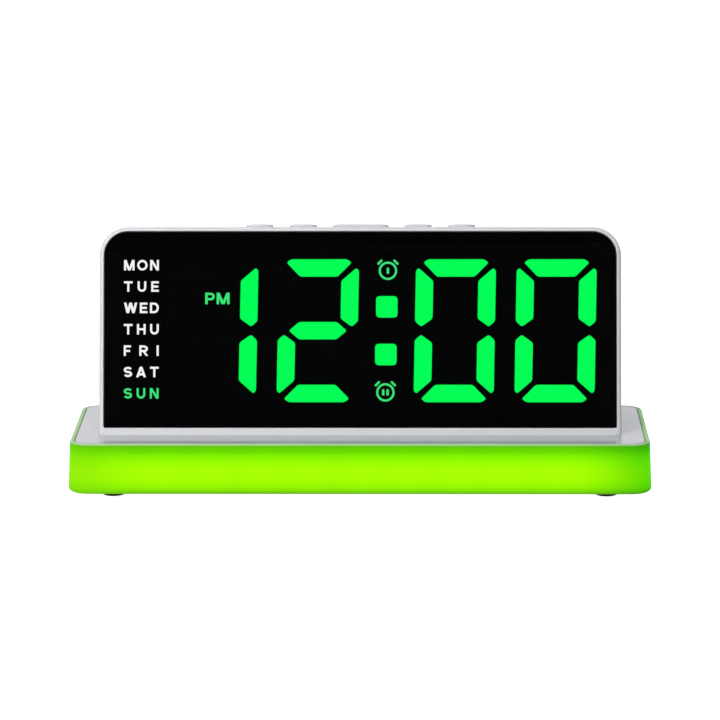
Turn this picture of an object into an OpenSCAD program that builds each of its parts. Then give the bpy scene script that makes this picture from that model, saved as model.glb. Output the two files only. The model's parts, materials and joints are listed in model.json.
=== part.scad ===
// Digital alarm clock: a leaning display case on a flat base whose rim lights up.
// Millimetres. X runs along the width, Y from front to back and Z up.
// The origin is on the table, under the middle of the base.

/* [Display] */
// Height of one digit
digit_h = 40.8; // [32:0.2:60]
// Width of one digit
digit_w = 22.8; // [18:0.2:34]
// Width of a digit's upright strokes
stroke_v = 5.05; // [3:0.05:6]
// Height of a digit's level strokes
stroke_h = 5.3; // [3:0.05:6]
// Angle by which the digits slope
digit_slant = 1.06; // [0:0.02:8]
// Gap between the two digits of a pair
pair_gap = 5.9; // [4:0.1:12]
// Gap between the pairs, where the colon stands
colon_gap = 16.25; // [12:0.25:30]
// Side of one colon square
colon_side = 6.1; // [3:0.1:8]
// Width of the weekday column
legend_w = 10; // [8:0.5:16]
// Height of one weekday legend
legend_h = 3; // [2:0.1:4]
// Gap from the weekday column to the first digit
legend_gap = 4.9; // [3:0.1:12]
// Dark margin at each side of the lit field
side_margin = 5.9; // [4.5:0.1:14]
// Dark margin below the digits
low_margin = 7.4; // [4.5:0.1:14]
// Dark margin above the digits
high_margin = 7.8; // [4.5:0.1:14]
// Thickness of the dark window
window_t = 1.5; // [1:0.1:3]
// Depth of the reflector block behind the window
mask_t = 5; // [3:0.5:8]

/* [Case] */
// Angle by which the case leans back
lean = 13.6; // [6:0.2:18]
// Depth of the case, square to its face
case_d = 22; // [21:0.5:27]
// Width of the visible frame at the sides and the top
bezel = 1.3; // [1.2:0.1:4]
// Height of the sill below the window
sill = 2.05; // [2:0.05:8]
// Radius of the case's top corners
case_corner = 8.2; // [5:0.1:14]
// Wall of the case behind the window
case_wall = 2; // [1.6:0.1:3]
// Floor of the case, where it stands on the base
case_floor = 2; // [1.6:0.1:3]
// Thickness of the rear cover
cover_t = 2.2; // [2.2:0.1:3]

/* [Base] */
// Deck to each side of the case
deck_side = 8.2; // [5:0.1:30]
// Deck in front of the case, out to the base's front
deck_front = 13; // [9:0.5:18]
// Depth of the base
base_d = 55; // [48:0.5:80]
// Height of the base without its feet
base_h = 14.4; // [13.4:0.2:24]
// Radius of the base's upright corners
base_corner = 6; // [5:0.5:12]
// How far each side draws in towards the top
base_draft = 0.55; // [0:0.05:1]
// Width of the ring's edge that shows round the deck
rim_w = 1.3; // [1:0.1:2]
// Wall of the light-up ring
ring_wall = 2.6; // [2.4:0.1:3.2]
// Thickness of the deck plate
lid_t = 2; // [1.6:0.1:3]
// Thickness of the bottom cover
floor_t = 2; // [1.8:0.1:3]
// Radius of a rubber foot
foot_r = 3.4; // [2:0.25:4]
// Height that a foot stands out
foot_h = 1.6; // [1:0.1:4]
// Distance of a foot's middle from the side
foot_in_x = 12.7; // [9:0.1:14]
// Distance of a foot's middle from the front or back
foot_in_y = 8; // [7.5:0.5:10]

/* [Buttons] */
// Height that a button stands out of the case
button_rise = 1.6; // [0.8:0.1:3]
// Front-to-back size of a button
button_d = 5; // [3:0.1:6]
// Length of each of the four small buttons
key_l = 7.9; // [5:0.1:10]
// Length of the snooze button in the middle
snooze_l = 16.1; // [10:0.1:20]
// Distance of the inner small buttons from the middle
key_near = 16.5; // [16:0.1:22]
// Distance of the outer small buttons from the middle
key_far = 29; // [28.5:0.1:40]
// Travel of a button
key_travel = 0.5; // [0.2:0.05:0.8]

/* [Power and battery] */
// Distance of the power socket from the middle
power_x = 30; // [16:1:50]
// Distance of the battery door from the middle
battery_x = -40; // [-50:1:-24]
// Radius of the coin cell
cell_r = 10; // [6:0.5:11]
// Thickness of the coin cell
cell_t = 3.2; // [1.6:0.1:3.2]
// Distance of the buzzer from the middle
buzzer_x = 46; // [20:1:52]
// Radius of the buzzer
buzzer_r = 6; // [4:0.5:8]

/* [Fits] */
// Gap round each button in its slot
slot_gap = 0.2; // [0.15:0.05:0.4]
// Gap round a cover, a door or the window in its seat
seat_gap = 0.15; // [0.1:0.05:0.3]
// Gap between a screw and its hole
screw_gap = 0.05; // [0.05:0.05:0.2]

/* [Hidden] */
$fn = 48;
cut = 1;

// Sizes that follow from the display
window_w = 2 * side_margin + legend_w + legend_gap + 4 * digit_w + 2 * pair_gap + colon_gap;
window_h = low_margin + digit_h + high_margin;
case_w = window_w + 2 * bezel;
case_h = sill + window_h + bezel;
window_r = case_corner - bezel;
base_w = case_w + 2 * deck_side;
deck_z = foot_h + base_h;
case_y = deck_front - base_d / 2;

// Layers of the display, measured back from the face of the case
window_sink = 0.2;
gasket_t = 0.2;
ledge_t = 1.2;
film_t = 0.25;
board_t = 1.6;
small_board_t = 1.2;
sight_gap = 0.9;
mask_lap = 0.7;
gasket_lap = 0.3;
window_back = window_sink + window_t;
ledge_front = window_back + gasket_t;
film_front = ledge_front + ledge_t;
mask_front = film_front + film_t;
board_front = mask_front + mask_t;
board_back = board_front + board_t;
cover_front = case_d - cover_t;
ledge_w = min(side_margin, low_margin, high_margin) - sight_gap;
gasket_w = ledge_w + gasket_lap;
sight_half = window_w / 2 - ledge_w;
sight_low = sill + ledge_w;
sight_high = sill + window_h - ledge_w;
mask_half = sight_half + mask_lap;

// Lit field: digits, colon, weekday column
digit_low = sill + low_margin;
digit_mid = digit_low + digit_h / 2;
legend_x = side_margin - window_w / 2;
digit_1 = legend_x + legend_w + legend_gap;
digit_2 = digit_1 + digit_w + pair_gap;
digit_3 = digit_2 + digit_w + colon_gap;
digit_4 = digit_3 + digit_w + pair_gap;
digit_starts = [digit_1, digit_2, digit_3, digit_4];
colon_x = (digit_2 + digit_w + digit_3) / 2;
colon_rise = 6.8;
colon_shift = 0.15;
legend_rows = 7;
legend_inset = 0.6;
legend_pitch = (digit_h - legend_h - 2 * legend_inset) / (legend_rows - 1);
icon_r = 2.8;
icon_rise = 17.25;
icon_shift = 0.35;
field_gap = 0.3;
afternoon_in = 8;
afternoon_x = digit_1 + afternoon_in;
afternoon_rise = 9;
afternoon_size = [7, 3.3];

// Segment outline: where the bars and posts of a digit start and end
bar_outer_in = 2.4;
bar_slope = 1.15;
bar_inner_in = stroke_v + bar_slope;
post_top = 2.5;
post_chamfer = 0.75;
post_gap = 0.9;
post_inner_top = stroke_h + post_gap;
post_low = 2.7;
post_tip = 1.15;
post_tip_in = 1.75;
post_middle_gap = 0.8;
post_inner_low = stroke_h / 2 + post_middle_gap;
middle_tip_in = 3.15;

// Screws
screw_r = 1;
screw_head_r = 1.9;
screw_head_h = 1.1;
screw_hole_r = screw_r + screw_gap;
head_room_r = screw_head_r + seat_gap;
slot_w = 0.5;
slot_reach = 0.6;
boss_r = 2.2;
board_boss_r = 1.9;
board_boss_x = mask_half + seat_gap + board_boss_r;
board_boss_rises = [0.28, 0.72];
board_tab = 5.6;
board_tab_out = 0.9;
boss_bite = 0.3;
boss_floor = 0.6;
cover_boss_x = case_w / 2 - case_wall - boss_r + boss_bite;
cover_boss_in = 4.2;
cover_boss_low = sill + ledge_w + cover_boss_in;
cover_boss_high = case_h - case_corner - boss_r;
cover_boss_d = 8;
lip_l = 1.5;
recess_d = 1.2;
long_screw = 7;
key_screw = 5;
screw_bite = 3;
screw_short = 1.2;

// Buttons and their board
ceiling = case_h - case_wall;
flange_gap = 0.15;
flange_w = 0.9;
flange_t = 1;
flange_top = ceiling - flange_gap;
plunger_show = 1.5;
switch_h = 3.1;
switch_side = 4.6;
plunger_r = 1;
plunger_gap = 0.15;
plunger_sink = 0.8;
switch_spare = 0.3;
button_step = 0.35;
switch_top = flange_top - flange_t - plunger_show;
key_board_top = switch_top - switch_h;
key_board_d = 5.2;
key_board_gap = 0.45;
key_board_front = board_back + key_board_gap;
key_mid = key_board_front + key_board_d / 2;
key_post_out = 3.6;
key_post_x = key_far + key_l / 2 + key_post_out;
key_post_r = 1.9;
key_board_end = 3;
key_board_half = key_post_x + key_board_end;
ribbon_w = 8;
ribbon_l = 8;
key_places = [-key_far, -key_near, 0, key_near, key_far];

// Battery pocket in the rear cover
cell_mid = sill + window_h / 2;
door_t = 1.6;
door_gap = 0.1;
door_seat = case_d - door_t - door_gap;
pocket_gap = 0.4;
pocket_r = cell_r + pocket_gap;
pocket_wall = 1.8;
pocket_half = pocket_r + pocket_wall;
cell_sink = 0.4;
cell_back = cover_front - cell_sink;
cell_front = cell_back - cell_t;
contact_t = 0.3;
contact_gap = 0.05;
contact_w = 5;
contact_share = 0.7;
pocket_floor = cell_front - contact_t - contact_gap;
pocket_floor_t = 1.2;
pocket_front = pocket_floor - pocket_floor_t;
clip_slot = 0.8;
clip_half = 2.2;
clip_gap = 0.1;
clip_reach = 3;
clip_room = 3;
door_lap = 1.6;
door_half = cell_r + door_lap;
door_extra = 1;
grooves = 4;
groove_pitch = 1.8;
groove_in = 2;
groove_high = cell_mid + door_half - groove_in;
groove_half = 5;
groove_w = 0.8;
groove_d = 0.4;

// Power socket and its board, in the low rear part of the case
socket_w = 8.94;
socket_h = 3.26;
socket_l = 7.35;
socket_wall = 0.25;
socket_sink = 0.3;
socket_gap = 0.3;
tongue_w = 6.7;
tongue_t = 0.7;
tongue_l = 5.2;
tongue_sink = 0.6;
tongue_gap = 0.05;
floor_rise = case_d * tan(lean) + case_floor / cos(lean);
power_rise = 2.2;
power_low = floor_rise + power_rise;
power_top = power_low + small_board_t;
power_board_in = 2.2;
power_board_front = board_back + power_board_in;
power_board_out = 0.5;
power_board_back = cover_front - power_board_out;
power_board_half = 13;
power_screw_x = 9.5;
power_hole_d = 3.4;
power_mid = (power_board_front + power_board_back) / 2;
socket_back = case_d - socket_sink;
socket_mid = power_top + socket_h / 2;

// Buzzer
buzzer_t = 3;
buzzer_rise = 4;
buzzer_v = cell_mid + buzzer_rise;
buzzer_hole_r = 1.2;
buzzer_hole_d = 0.6;
sound_hole_r = 0.6;
sound_ring_r = 2.6;
sound_holes = concat([[0, 0]], [for (a = [0 : 60 : 300]) sound_ring_r * [cos(a), sin(a)]]);

// Cable between the case and the base
plug_w = 8;
plug_d = 3.6;
plug_h = 4;
plug_rise = 5.6;
plug_low = floor_rise + plug_rise;
cable_w = 6;
cable_t = 0.8;
cable_y = case_y + (board_back + plug_d / 2) * cos(lean) + plug_low * sin(lean);
cable_top = deck_z + plug_low * cos(lean) - (board_back + plug_d / 2) * sin(lean);
cable_bite = 1.5;
pass_w = 13;
pass_d = 4.6;

// Screws that hold the case on the deck
stand_in_x = 22;
stand_in_y = 5.6;
stand_x = case_w / 2 - stand_in_x;
stand_y = case_y + case_d * cos(lean) - stand_in_y;
stand_boss_r = 2.6;
stand_boss_h = 6;
stand_screw_bite = 4.4;

// Inside of the base
lid_w = base_w - 2 * (base_draft + rim_w + seat_gap);
lid_d = base_d - 2 * (base_draft + rim_w + seat_gap);
lid_r = base_corner - base_draft - rim_w - seat_gap;
inner_w = base_w - 2 * (base_draft + ring_wall);
inner_d = base_d - 2 * (base_draft + ring_wall);
inner_r = base_corner - base_draft - ring_wall;
lid_z = deck_z - lid_t;
floor_top = foot_h + floor_t;
skirt_t = 1.2;
skirt_h = 2.4;
edge_top_r = 0.5;
edge_low_r = 1.2;
base_boss_x = base_w / 2 - foot_in_x;
base_boss_in = 6.4;
base_boss_y = base_d / 2 - foot_in_y - foot_r - base_boss_in;
base_boss_r = 3;
boss_cap = 1;
light_rise = 2.4;
light_low = floor_top + light_rise;
light_top = light_low + small_board_t;
light_in_x = 5;
light_in_y = 9.5;
light_half_w = base_boss_x - base_boss_r - light_in_x;
light_half_d = base_d / 2 - light_in_y;
light_post_in_x = 4;
light_post_in_y = 7.5;
light_post_x = light_half_w - light_post_in_x;
light_post_y = light_half_d - light_post_in_y;
light_post_r = 2;
light_plug_h = 3;
light_screw_end = 0.4;
light_part_x = 22;
led_side = 5;
led_t = 1.5;
led_rim = 0.8;
led_dish = 0.4;
led_in = 0.6;
led_edge = led_side / 2 + led_in;
leds_long = 8;
leds_short = 3;
foot_sink = 0.8;
foot_round = 0.8;

// Components: length, width and height of a chip, and its legs on each side
driver_size = [17.9, 7.5, 2.3];
driver_legs = 14;
clock_size = [10.2, 5.3, 1.9];
clock_legs = 10;
light_driver_size = [5, 4, 1.6];
light_driver_legs = 4;
leg_w = 0.4;
leg_l = 0.9;
leg_t = 0.4;
chip_lift = 0.1;
chip_x = 14;
chip_rise = 4;
crystal_r = 1;
crystal_l = 6;
crystal_drop = 5;
can_r = 2.5;
can_h = 5.4;
can_seat_h = 0.6;
can_x = 30;
lamp_size = [1.6, 0.7, 0.9];

// Colours
shell_white = [0.86, 0.87, 0.90];
glow_green = [0.55, 0.95, 0.05];
glass_black = [0.02, 0.02, 0.02];
rubber_black = [0.05, 0.05, 0.05];
board_green = [0.05, 0.30, 0.14];
board_white = [0.90, 0.91, 0.88];
chip_black = [0.09, 0.09, 0.10];
steel = [0.62, 0.63, 0.65];
led_white = [0.95, 0.95, 0.90];
plug_cream = [0.90, 0.88, 0.78];

// Points of an arc
function arc(cx, cy, r, from, to, steps = 6) =
    [for (i = [0 : steps]) let (a = from + (to - from) * i / steps) [cx + r * cos(a), cy + r * sin(a)]];

// Puts what is drawn upright into the leaning case: its X, its depth and its slope
module leaned() {
    translate([0, case_y, deck_z]) rotate([-lean, 0, 0]) children();
}

// Keeps what is above a level
module above(z) {
    reach = 2 * (base_w + base_d);
    intersection() {
        children();
        translate([-reach, -reach, z]) cube(2 * reach);
    }
}

// Stretches an outline through the depth of the case
module slab(from, to) {
    translate([0, to, 0]) rotate([90, 0, 0]) linear_extrude(to - from) children();
}

// Outline with a square foot and round top corners
module arch(half, low, high, r) {
    translate([-half, low]) square([2 * half, high - r - low]);
    translate([r - half, low]) square([2 * (half - r), high - low]);
    for (s = [-1, 1]) translate([s * (half - r), high - r]) circle(r);
}

module case_arch(inset) {
    arch(case_w / 2 - inset, 0, case_h - inset, case_corner - inset);
}

module window_arch(grow) {
    arch(window_w / 2 + grow, sill - grow, sill + window_h + grow, window_r + grow);
}

// Rectangle given by its middle and its half sizes
module block_2d(x, y, half_x, half_y) {
    translate([x - half_x, y - half_y]) square([2 * half_x, 2 * half_y]);
}

// Outline with fully round ends
module pill(length, depth) {
    straight = length - depth;
    translate([-straight / 2, -depth / 2]) square([straight, depth]);
    for (s = [-1, 1]) translate([s * straight / 2, 0]) circle(d = depth);
}

// Plate with upright round corners
module rounded_plate(w, d, r, low, high) {
    translate([0, 0, low]) linear_extrude(high - low) {
        square([w - 2 * r, d], center = true);
        square([w, d - 2 * r], center = true);
        for (sx = [-1, 1]) for (sy = [-1, 1]) translate([sx * (w / 2 - r), sy * (d / 2 - r)]) circle(r);
    }
}

// Carries a profile round a rectangle whose corners are round
module sweep_round(w, d, r) {
    for (side = [0 : 3]) rotate([0, 0, 90 * side]) {
        run = (side % 2 == 0 ? w : d) - 2 * r;
        out = (side % 2 == 0 ? d : w) / 2 - r;
        translate([-run / 2, out, 0]) rotate([90, 0, 90]) linear_extrude(run) children();
        translate([run / 2, out, 0]) rotate_extrude(angle = 90) children();
    }
}

// Screw with its head at the origin and its shank running down
module screw(length) {
    difference() {
        union() {
            translate([0, 0, -length]) cylinder(r = screw_r, h = length);
            cylinder(r = screw_head_r, h = screw_head_h);
        }
        for (turn = [0, 90]) rotate([0, 0, turn])
            translate([-screw_head_r * slot_reach, -slot_w / 2, screw_head_h / 2])
                cube([2 * screw_head_r * slot_reach, slot_w, screw_head_h]);
    }
}

// Small chip with two rows of legs, lying on its board
module chip(size, legs) {
    pitch = size[0] / legs;
    translate([-size[0] / 2, -size[1] / 2, chip_lift]) cube([size[0], size[1], size[2] - chip_lift]);
    for (i = [0 : legs - 1]) for (s = [-1, 1])
        translate([(i + 0.5) * pitch - (size[0] + leg_w) / 2, (s * (size[1] + leg_l) - leg_l) / 2, 0])
            cube([leg_w, leg_l, leg_t]);
}

// Round can that stands on a square seat
module can() {
    translate([-can_r, -can_r, 0]) cube([2 * can_r, 2 * can_r, can_seat_h]);
    translate([0, 0, can_seat_h]) cylinder(r = can_r, h = can_h - can_seat_h);
}

// ---- Base ----

module base_diffuser() {
    outer_top = base_corner - base_draft;
    inner = outer_top - ring_wall;
    rim = outer_top - rim_w;
    profile = concat(
        arc(base_corner - edge_low_r, foot_h + edge_low_r, edge_low_r, -90, 0),
        arc(outer_top - edge_top_r, deck_z - edge_top_r, edge_top_r, 0, 90, 4),
        [[rim, deck_z], [rim, lid_z], [inner, lid_z], [inner, floor_top], [rim, floor_top], [rim, foot_h]]
    );
    color(glow_green) sweep_round(base_w, base_d, base_corner) polygon(profile);
}

module base_bosses(r, low, high) {
    for (sx = [-1, 1]) for (sy = [-1, 1])
        translate([sx * base_boss_x, sy * base_boss_y, low]) cylinder(r = r, h = high - low);
}

module stand_places() {
    for (s = [-1, 1]) translate([s * stand_x, stand_y, 0]) children();
}

module cable_pass(low, high) {
    translate([-pass_w / 2, cable_y - pass_d / 2, low]) cube([pass_w, pass_d, high - low]);
}

module base_top_cover() {
    color(shell_white) difference() {
        union() {
            rounded_plate(lid_w, lid_d, lid_r, lid_z, deck_z);
            difference() {
                rounded_plate(inner_w - 2 * seat_gap, inner_d - 2 * seat_gap, inner_r - seat_gap,
                    lid_z - skirt_h, lid_z);
                rounded_plate(inner_w - 2 * (seat_gap + skirt_t), inner_d - 2 * (seat_gap + skirt_t),
                    inner_r - seat_gap - skirt_t, lid_z - skirt_h - cut, lid_z);
            }
            base_bosses(base_boss_r, floor_top, lid_z);
        }
        base_bosses(screw_hole_r, floor_top - cut, lid_z - boss_cap);
        stand_places() translate([0, 0, lid_z - cut]) cylinder(r = screw_hole_r, h = lid_t + 2 * cut);
        cable_pass(lid_z - cut, deck_z + cut);
    }
}

module foot_places() {
    for (sx = [-1, 1]) for (sy = [-1, 1])
        translate([sx * (base_w / 2 - foot_in_x), sy * (base_d / 2 - foot_in_y), 0]) children();
}

module light_post_places() {
    for (sx = [-1, 1]) for (sy = [-1, 1])
        translate([sx * light_post_x, sy * light_post_y, 0]) children();
}

module base_bottom_cover() {
    color(shell_white) difference() {
        union() {
            rounded_plate(lid_w, lid_d, lid_r, foot_h, floor_top);
            light_post_places() translate([0, 0, floor_top]) cylinder(r = light_post_r, h = light_rise);
        }
        foot_places() cylinder(r = foot_r + seat_gap, h = foot_h + foot_sink);
        base_bosses(screw_hole_r, foot_h - cut, floor_top + cut);
        base_bosses(head_room_r, foot_h - cut, foot_h + recess_d);
        light_post_places() translate([0, 0, floor_top]) cylinder(r = screw_hole_r, h = light_rise + cut);
    }
}

module foot(sx, sy) {
    top = foot_h + foot_sink;
    color(rubber_black) translate([sx * (base_w / 2 - foot_in_x), sy * (base_d / 2 - foot_in_y), 0])
        rotate_extrude() polygon(concat(
            [[0, 0]], arc(foot_r - foot_round, foot_round, foot_round, -90, 0), [[foot_r, top], [0, top]]
        ));
}

module foot_front_left() { foot(-1, -1); }
module foot_front_right() { foot(1, -1); }
module foot_rear_left() { foot(-1, 1); }
module foot_rear_right() { foot(1, 1); }

module base_screws() {
    color(steel) for (sx = [-1, 1]) for (sy = [-1, 1])
        translate([sx * base_boss_x, sy * base_boss_y, foot_h + recess_d]) mirror([0, 0, 1])
            screw(long_screw);
}

module light_board() {
    color(board_white) difference() {
        translate([-light_half_w, -light_half_d, light_low])
            cube([2 * light_half_w, 2 * light_half_d, small_board_t]);
        light_post_places() translate([0, 0, light_low - cut])
            cylinder(r = screw_hole_r, h = small_board_t + 2 * cut);
    }
}

module light_board_screws() {
    color(steel) light_post_places() translate([0, 0, light_top])
        screw(small_board_t + light_rise - light_screw_end);
}

module light_led() {
    difference() {
        translate([-led_side / 2, -led_side / 2, 0]) cube([led_side, led_side, led_t]);
        translate([0, 0, led_t - led_dish]) cylinder(r = led_side / 2 - led_rim, h = cut);
    }
}

module light_leds() {
    long_pitch = 2 * light_post_x / leds_long;
    short_pitch = 2 * (light_half_d - led_side) / leds_short;
    color(led_white) translate([0, 0, light_top]) {
        for (i = [0 : leds_long - 1]) for (s = [-1, 1])
            translate([(i + 0.5) * long_pitch - light_post_x, s * (light_half_d - led_edge), 0]) light_led();
        for (i = [1 : leds_short - 1]) for (s = [-1, 1])
            translate([s * (light_half_w - led_edge), (i - leds_short / 2) * short_pitch, 0]) light_led();
    }
}

module light_driver_chip() {
    color(chip_black) translate([-light_part_x, 0, light_top]) chip(light_driver_size, light_driver_legs);
}

module light_capacitor() {
    color(steel) translate([light_part_x, 0, light_top]) can();
}

module light_plug() {
    color(plug_cream) translate([-plug_w / 2, cable_y - plug_d / 2, light_top])
        cube([plug_w, plug_d, light_plug_h]);
}

module link_cable() {
    low = light_top + light_plug_h - cable_bite;
    high = cable_top + cable_bite;
    color("dimgray") translate([-cable_w / 2, cable_y - cable_t / 2, low])
        cube([cable_w, cable_t, high - low]);
}

// ---- Case ----

module board_boss_places() {
    for (s = [-1, 1]) for (rise = board_boss_rises)
        translate([s * board_boss_x, 0, sill + rise * window_h]) rotate([-90, 0, 0]) children();
}

module cover_boss_places() {
    for (s = [-1, 1]) for (v = [cover_boss_low, cover_boss_high])
        translate([s * cover_boss_x, 0, v]) rotate([-90, 0, 0]) children();
}

module key_post_places() {
    for (s = [-1, 1]) translate([s * key_post_x, key_mid, 0]) children();
}

module power_post_places() {
    for (s = [-1, 1]) translate([power_x + s * power_screw_x, power_mid, 0]) children();
}

module key_slot(x, length) {
    translate([x, key_mid, ceiling - cut]) linear_extrude(case_wall + 2 * cut)
        pill(length + 2 * slot_gap, button_d + 2 * slot_gap);
}

function key_length(i) = i == 2 ? snooze_l : key_l;

module front_housing() {
    color(shell_white) difference() {
        union() {
            difference() {
                above(deck_z) leaned() slab(0, cover_front) case_arch(0);
                above(deck_z + case_floor) leaned() slab(film_front, case_d) case_arch(case_wall);
                leaned() {
                    slab(-cut, ledge_front) window_arch(seat_gap);
                    slab(0, film_front + cut)
                        block_2d(0, (sight_low + sight_high) / 2, sight_half, (sight_high - sight_low) / 2);
                    for (i = [0 : 4]) key_slot(key_places[i], key_length(i));
                }
            }
            above(deck_z + case_floor / 2) leaned() {
                board_boss_places() translate([0, 0, film_front])
                    cylinder(r = board_boss_r, h = board_front - film_front);
                cover_boss_places() translate([0, 0, cover_front - cover_boss_d])
                    cylinder(r = boss_r, h = cover_boss_d);
                key_post_places() translate([0, 0, key_board_top])
                    cylinder(r = key_post_r, h = ceiling + case_wall / 2 - key_board_top);
                power_post_places() cylinder(r = board_boss_r, h = power_low);
            }
            stand_places() translate([0, 0, deck_z]) cylinder(r = stand_boss_r, h = stand_boss_h);
        }
        leaned() {
            board_boss_places() {
                translate([0, 0, film_front + boss_floor])
                    cylinder(r = screw_hole_r, h = board_front - film_front);
                translate([0, 0, board_back]) cylinder(r = head_room_r, h = case_d - board_back);
            }
            cover_boss_places() translate([0, 0, cover_front - cover_boss_d + cut])
                cylinder(r = screw_hole_r, h = cover_boss_d);
            key_post_places() translate([0, 0, key_board_top - cut])
                cylinder(r = screw_hole_r, h = ceiling - key_board_top);
            power_post_places() translate([0, 0, power_low - power_hole_d])
                cylinder(r = screw_hole_r, h = power_hole_d + cut);
        }
        stand_places() translate([0, 0, deck_z - cut]) cylinder(r = screw_hole_r, h = stand_boss_h);
        cable_pass(deck_z - cut, deck_z + 2 * case_floor);
    }
}

module housing_screws() {
    color(steel) stand_places() translate([0, 0, lid_z]) mirror([0, 0, 1]) screw(lid_t + stand_screw_bite);
}

module socket_outline(grow) {
    pill(socket_w + 2 * grow, socket_h + 2 * grow);
}

module rear_cover() {
    color(shell_white) difference() {
        union() {
            above(deck_z) leaned() slab(cover_front, case_d) case_arch(0);
            difference() {
                above(deck_z + case_floor + seat_gap) leaned()
                    slab(cover_front - lip_l, cover_front) case_arch(case_wall + seat_gap);
                above(deck_z + case_floor + seat_gap + skirt_t) leaned()
                    slab(cover_front - lip_l - cut, cover_front) case_arch(case_wall + seat_gap + skirt_t);
                leaned() cover_boss_places() cylinder(r = boss_r + seat_gap, h = cover_front);
                stand_places() translate([0, 0, deck_z])
                    cylinder(r = stand_boss_r + seat_gap, h = stand_boss_h + seat_gap);
            }
            leaned() slab(pocket_front, cover_front)
                block_2d(battery_x, cell_mid, pocket_half, pocket_half);
        }
        leaned() {
            cover_boss_places() {
                cylinder(r = screw_hole_r, h = case_d + cut);
                translate([0, 0, case_d - recess_d]) cylinder(r = head_room_r, h = recess_d + cut);
            }
            translate([battery_x, pocket_floor, cell_mid]) rotate([-90, 0, 0])
                cylinder(r = pocket_r, h = case_d);
            slab(pocket_floor, cover_front)
                block_2d(battery_x, cell_mid + pocket_r, clip_room, clip_slot);
            slab(door_seat, case_d + cut)
                block_2d(battery_x, cell_mid, door_half + seat_gap, door_half + door_extra + seat_gap);
            slab(cover_front - lip_l - cut, case_d + cut)
                translate([power_x, socket_mid]) socket_outline(socket_gap);
            for (p = sound_holes) translate([buzzer_x + p[0], cover_front - cut, buzzer_v + p[1]])
                rotate([-90, 0, 0]) cylinder(r = sound_hole_r, h = cover_t + 2 * cut);
        }
    }
}

module rear_cover_screws() {
    color(steel) leaned() cover_boss_places() translate([0, 0, case_d - recess_d]) screw(long_screw);
}

// ---- Display ----

module display_window() {
    color(glass_black) leaned() slab(window_sink, window_back) window_arch(0);
}

module window_gasket() {
    color(rubber_black) leaned() slab(window_back, ledge_front) difference() {
        window_arch(-seat_gap);
        block_2d(0, sill + window_h / 2, window_w / 2 - gasket_w, window_h / 2 - gasket_w);
    }
}

module segment_film() {
    color(glass_black) leaned() slab(film_front, mask_front)
        block_2d(0, (sight_low + sight_high) / 2, mask_half, (sight_high - sight_low) / 2 + mask_lap);
}

// A digit's corner points, mirrored as asked and sloped about the middle of the digit
function in_digit(points, start, flip_x, flip_y) = [
    for (p = points)
        let (x = flip_x ? digit_w - p[0] : p[0], y = flip_y ? digit_h - p[1] : p[1])
            [start + x + (y - digit_h / 2) * tan(digit_slant), digit_low + y]
];

bar_points = [
    [bar_outer_in, digit_h], [digit_w - bar_outer_in, digit_h],
    [digit_w - bar_inner_in, digit_h - stroke_h], [bar_inner_in, digit_h - stroke_h]
];
post_points = [
    [post_chamfer, digit_h - post_top], [0, digit_h - post_top - post_chamfer],
    [0, digit_h / 2 + post_low], [post_tip_in, digit_h / 2 + post_tip],
    [stroke_v, digit_h / 2 + post_inner_low], [stroke_v, digit_h - post_inner_top]
];
middle_points = [
    [middle_tip_in, digit_h / 2],
    [bar_inner_in, (digit_h + stroke_h) / 2], [digit_w - bar_inner_in, (digit_h + stroke_h) / 2],
    [digit_w - middle_tip_in, digit_h / 2],
    [digit_w - bar_inner_in, (digit_h - stroke_h) / 2], [bar_inner_in, (digit_h - stroke_h) / 2]
];

module digit_segments(start) {
    polygon(in_digit(middle_points, start, false, false));
    for (low = [false, true]) {
        polygon(in_digit(bar_points, start, false, low));
        for (right = [false, true]) polygon(in_digit(post_points, start, right, low));
    }
}

// Places of the small lit fields beside the digits: middle x, middle height, half sizes
function legend_v(row) = digit_mid + ((legend_rows - 1) / 2 - row) * legend_pitch;
small_fields = concat(
    [for (s = [-1, 1])
        [colon_x + s * colon_shift, digit_mid + s * colon_rise, colon_side / 2, colon_side / 2]],
    [for (s = [-1, 1])
        [colon_x + s * icon_shift, digit_mid + s * icon_rise, icon_r + field_gap, icon_r + field_gap]],
    [for (row = [0 : legend_rows - 1])
        [legend_x + legend_w / 2, legend_v(row), legend_w / 2 + field_gap, legend_h / 2 + field_gap]],
    [[afternoon_x + afternoon_size[0] / 2, digit_mid + afternoon_rise,
        afternoon_size[0] / 2 + field_gap, afternoon_size[1] / 2 + field_gap]]
);

module segment_mask() {
    color(board_white) leaned() slab(mask_front, board_front) difference() {
        block_2d(0, (sight_low + sight_high) / 2, mask_half, (sight_high - sight_low) / 2 + mask_lap);
        for (start = digit_starts) digit_segments(start);
        for (f = small_fields) block_2d(f[0], f[1], f[2], f[3]);
    }
}

module display_board() {
    color(board_green) leaned() difference() {
        slab(board_front, board_back) {
            block_2d(0, (sight_low + sight_high) / 2, mask_half, (sight_high - sight_low) / 2 + mask_lap);
            for (rise = board_boss_rises)
                block_2d(0, sill + rise * window_h, board_boss_x + board_tab_out, board_tab / 2);
        }
        board_boss_places() translate([0, 0, board_front - cut])
            cylinder(r = screw_hole_r, h = board_t + 2 * cut);
    }
}

// Middles of a digit's seven segments
digit_lamps = [
    [digit_w / 2, stroke_h / 2], [digit_w / 2, digit_h / 2], [digit_w / 2, digit_h - stroke_h / 2],
    [stroke_v / 2, digit_h / 4], [stroke_v / 2, digit_h * 3 / 4],
    [digit_w - stroke_v / 2, digit_h / 4], [digit_w - stroke_v / 2, digit_h * 3 / 4]
];

module display_lamp(x, v) {
    translate([x - lamp_size[0] / 2, board_front - lamp_size[1], v - lamp_size[2] / 2]) cube(lamp_size);
}

module display_leds() {
    color(led_white) leaned() {
        for (start = digit_starts) for (p = in_digit(digit_lamps, start, false, false))
            display_lamp(p[0], p[1]);
        for (f = small_fields) display_lamp(f[0], f[1]);
    }
}

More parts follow.
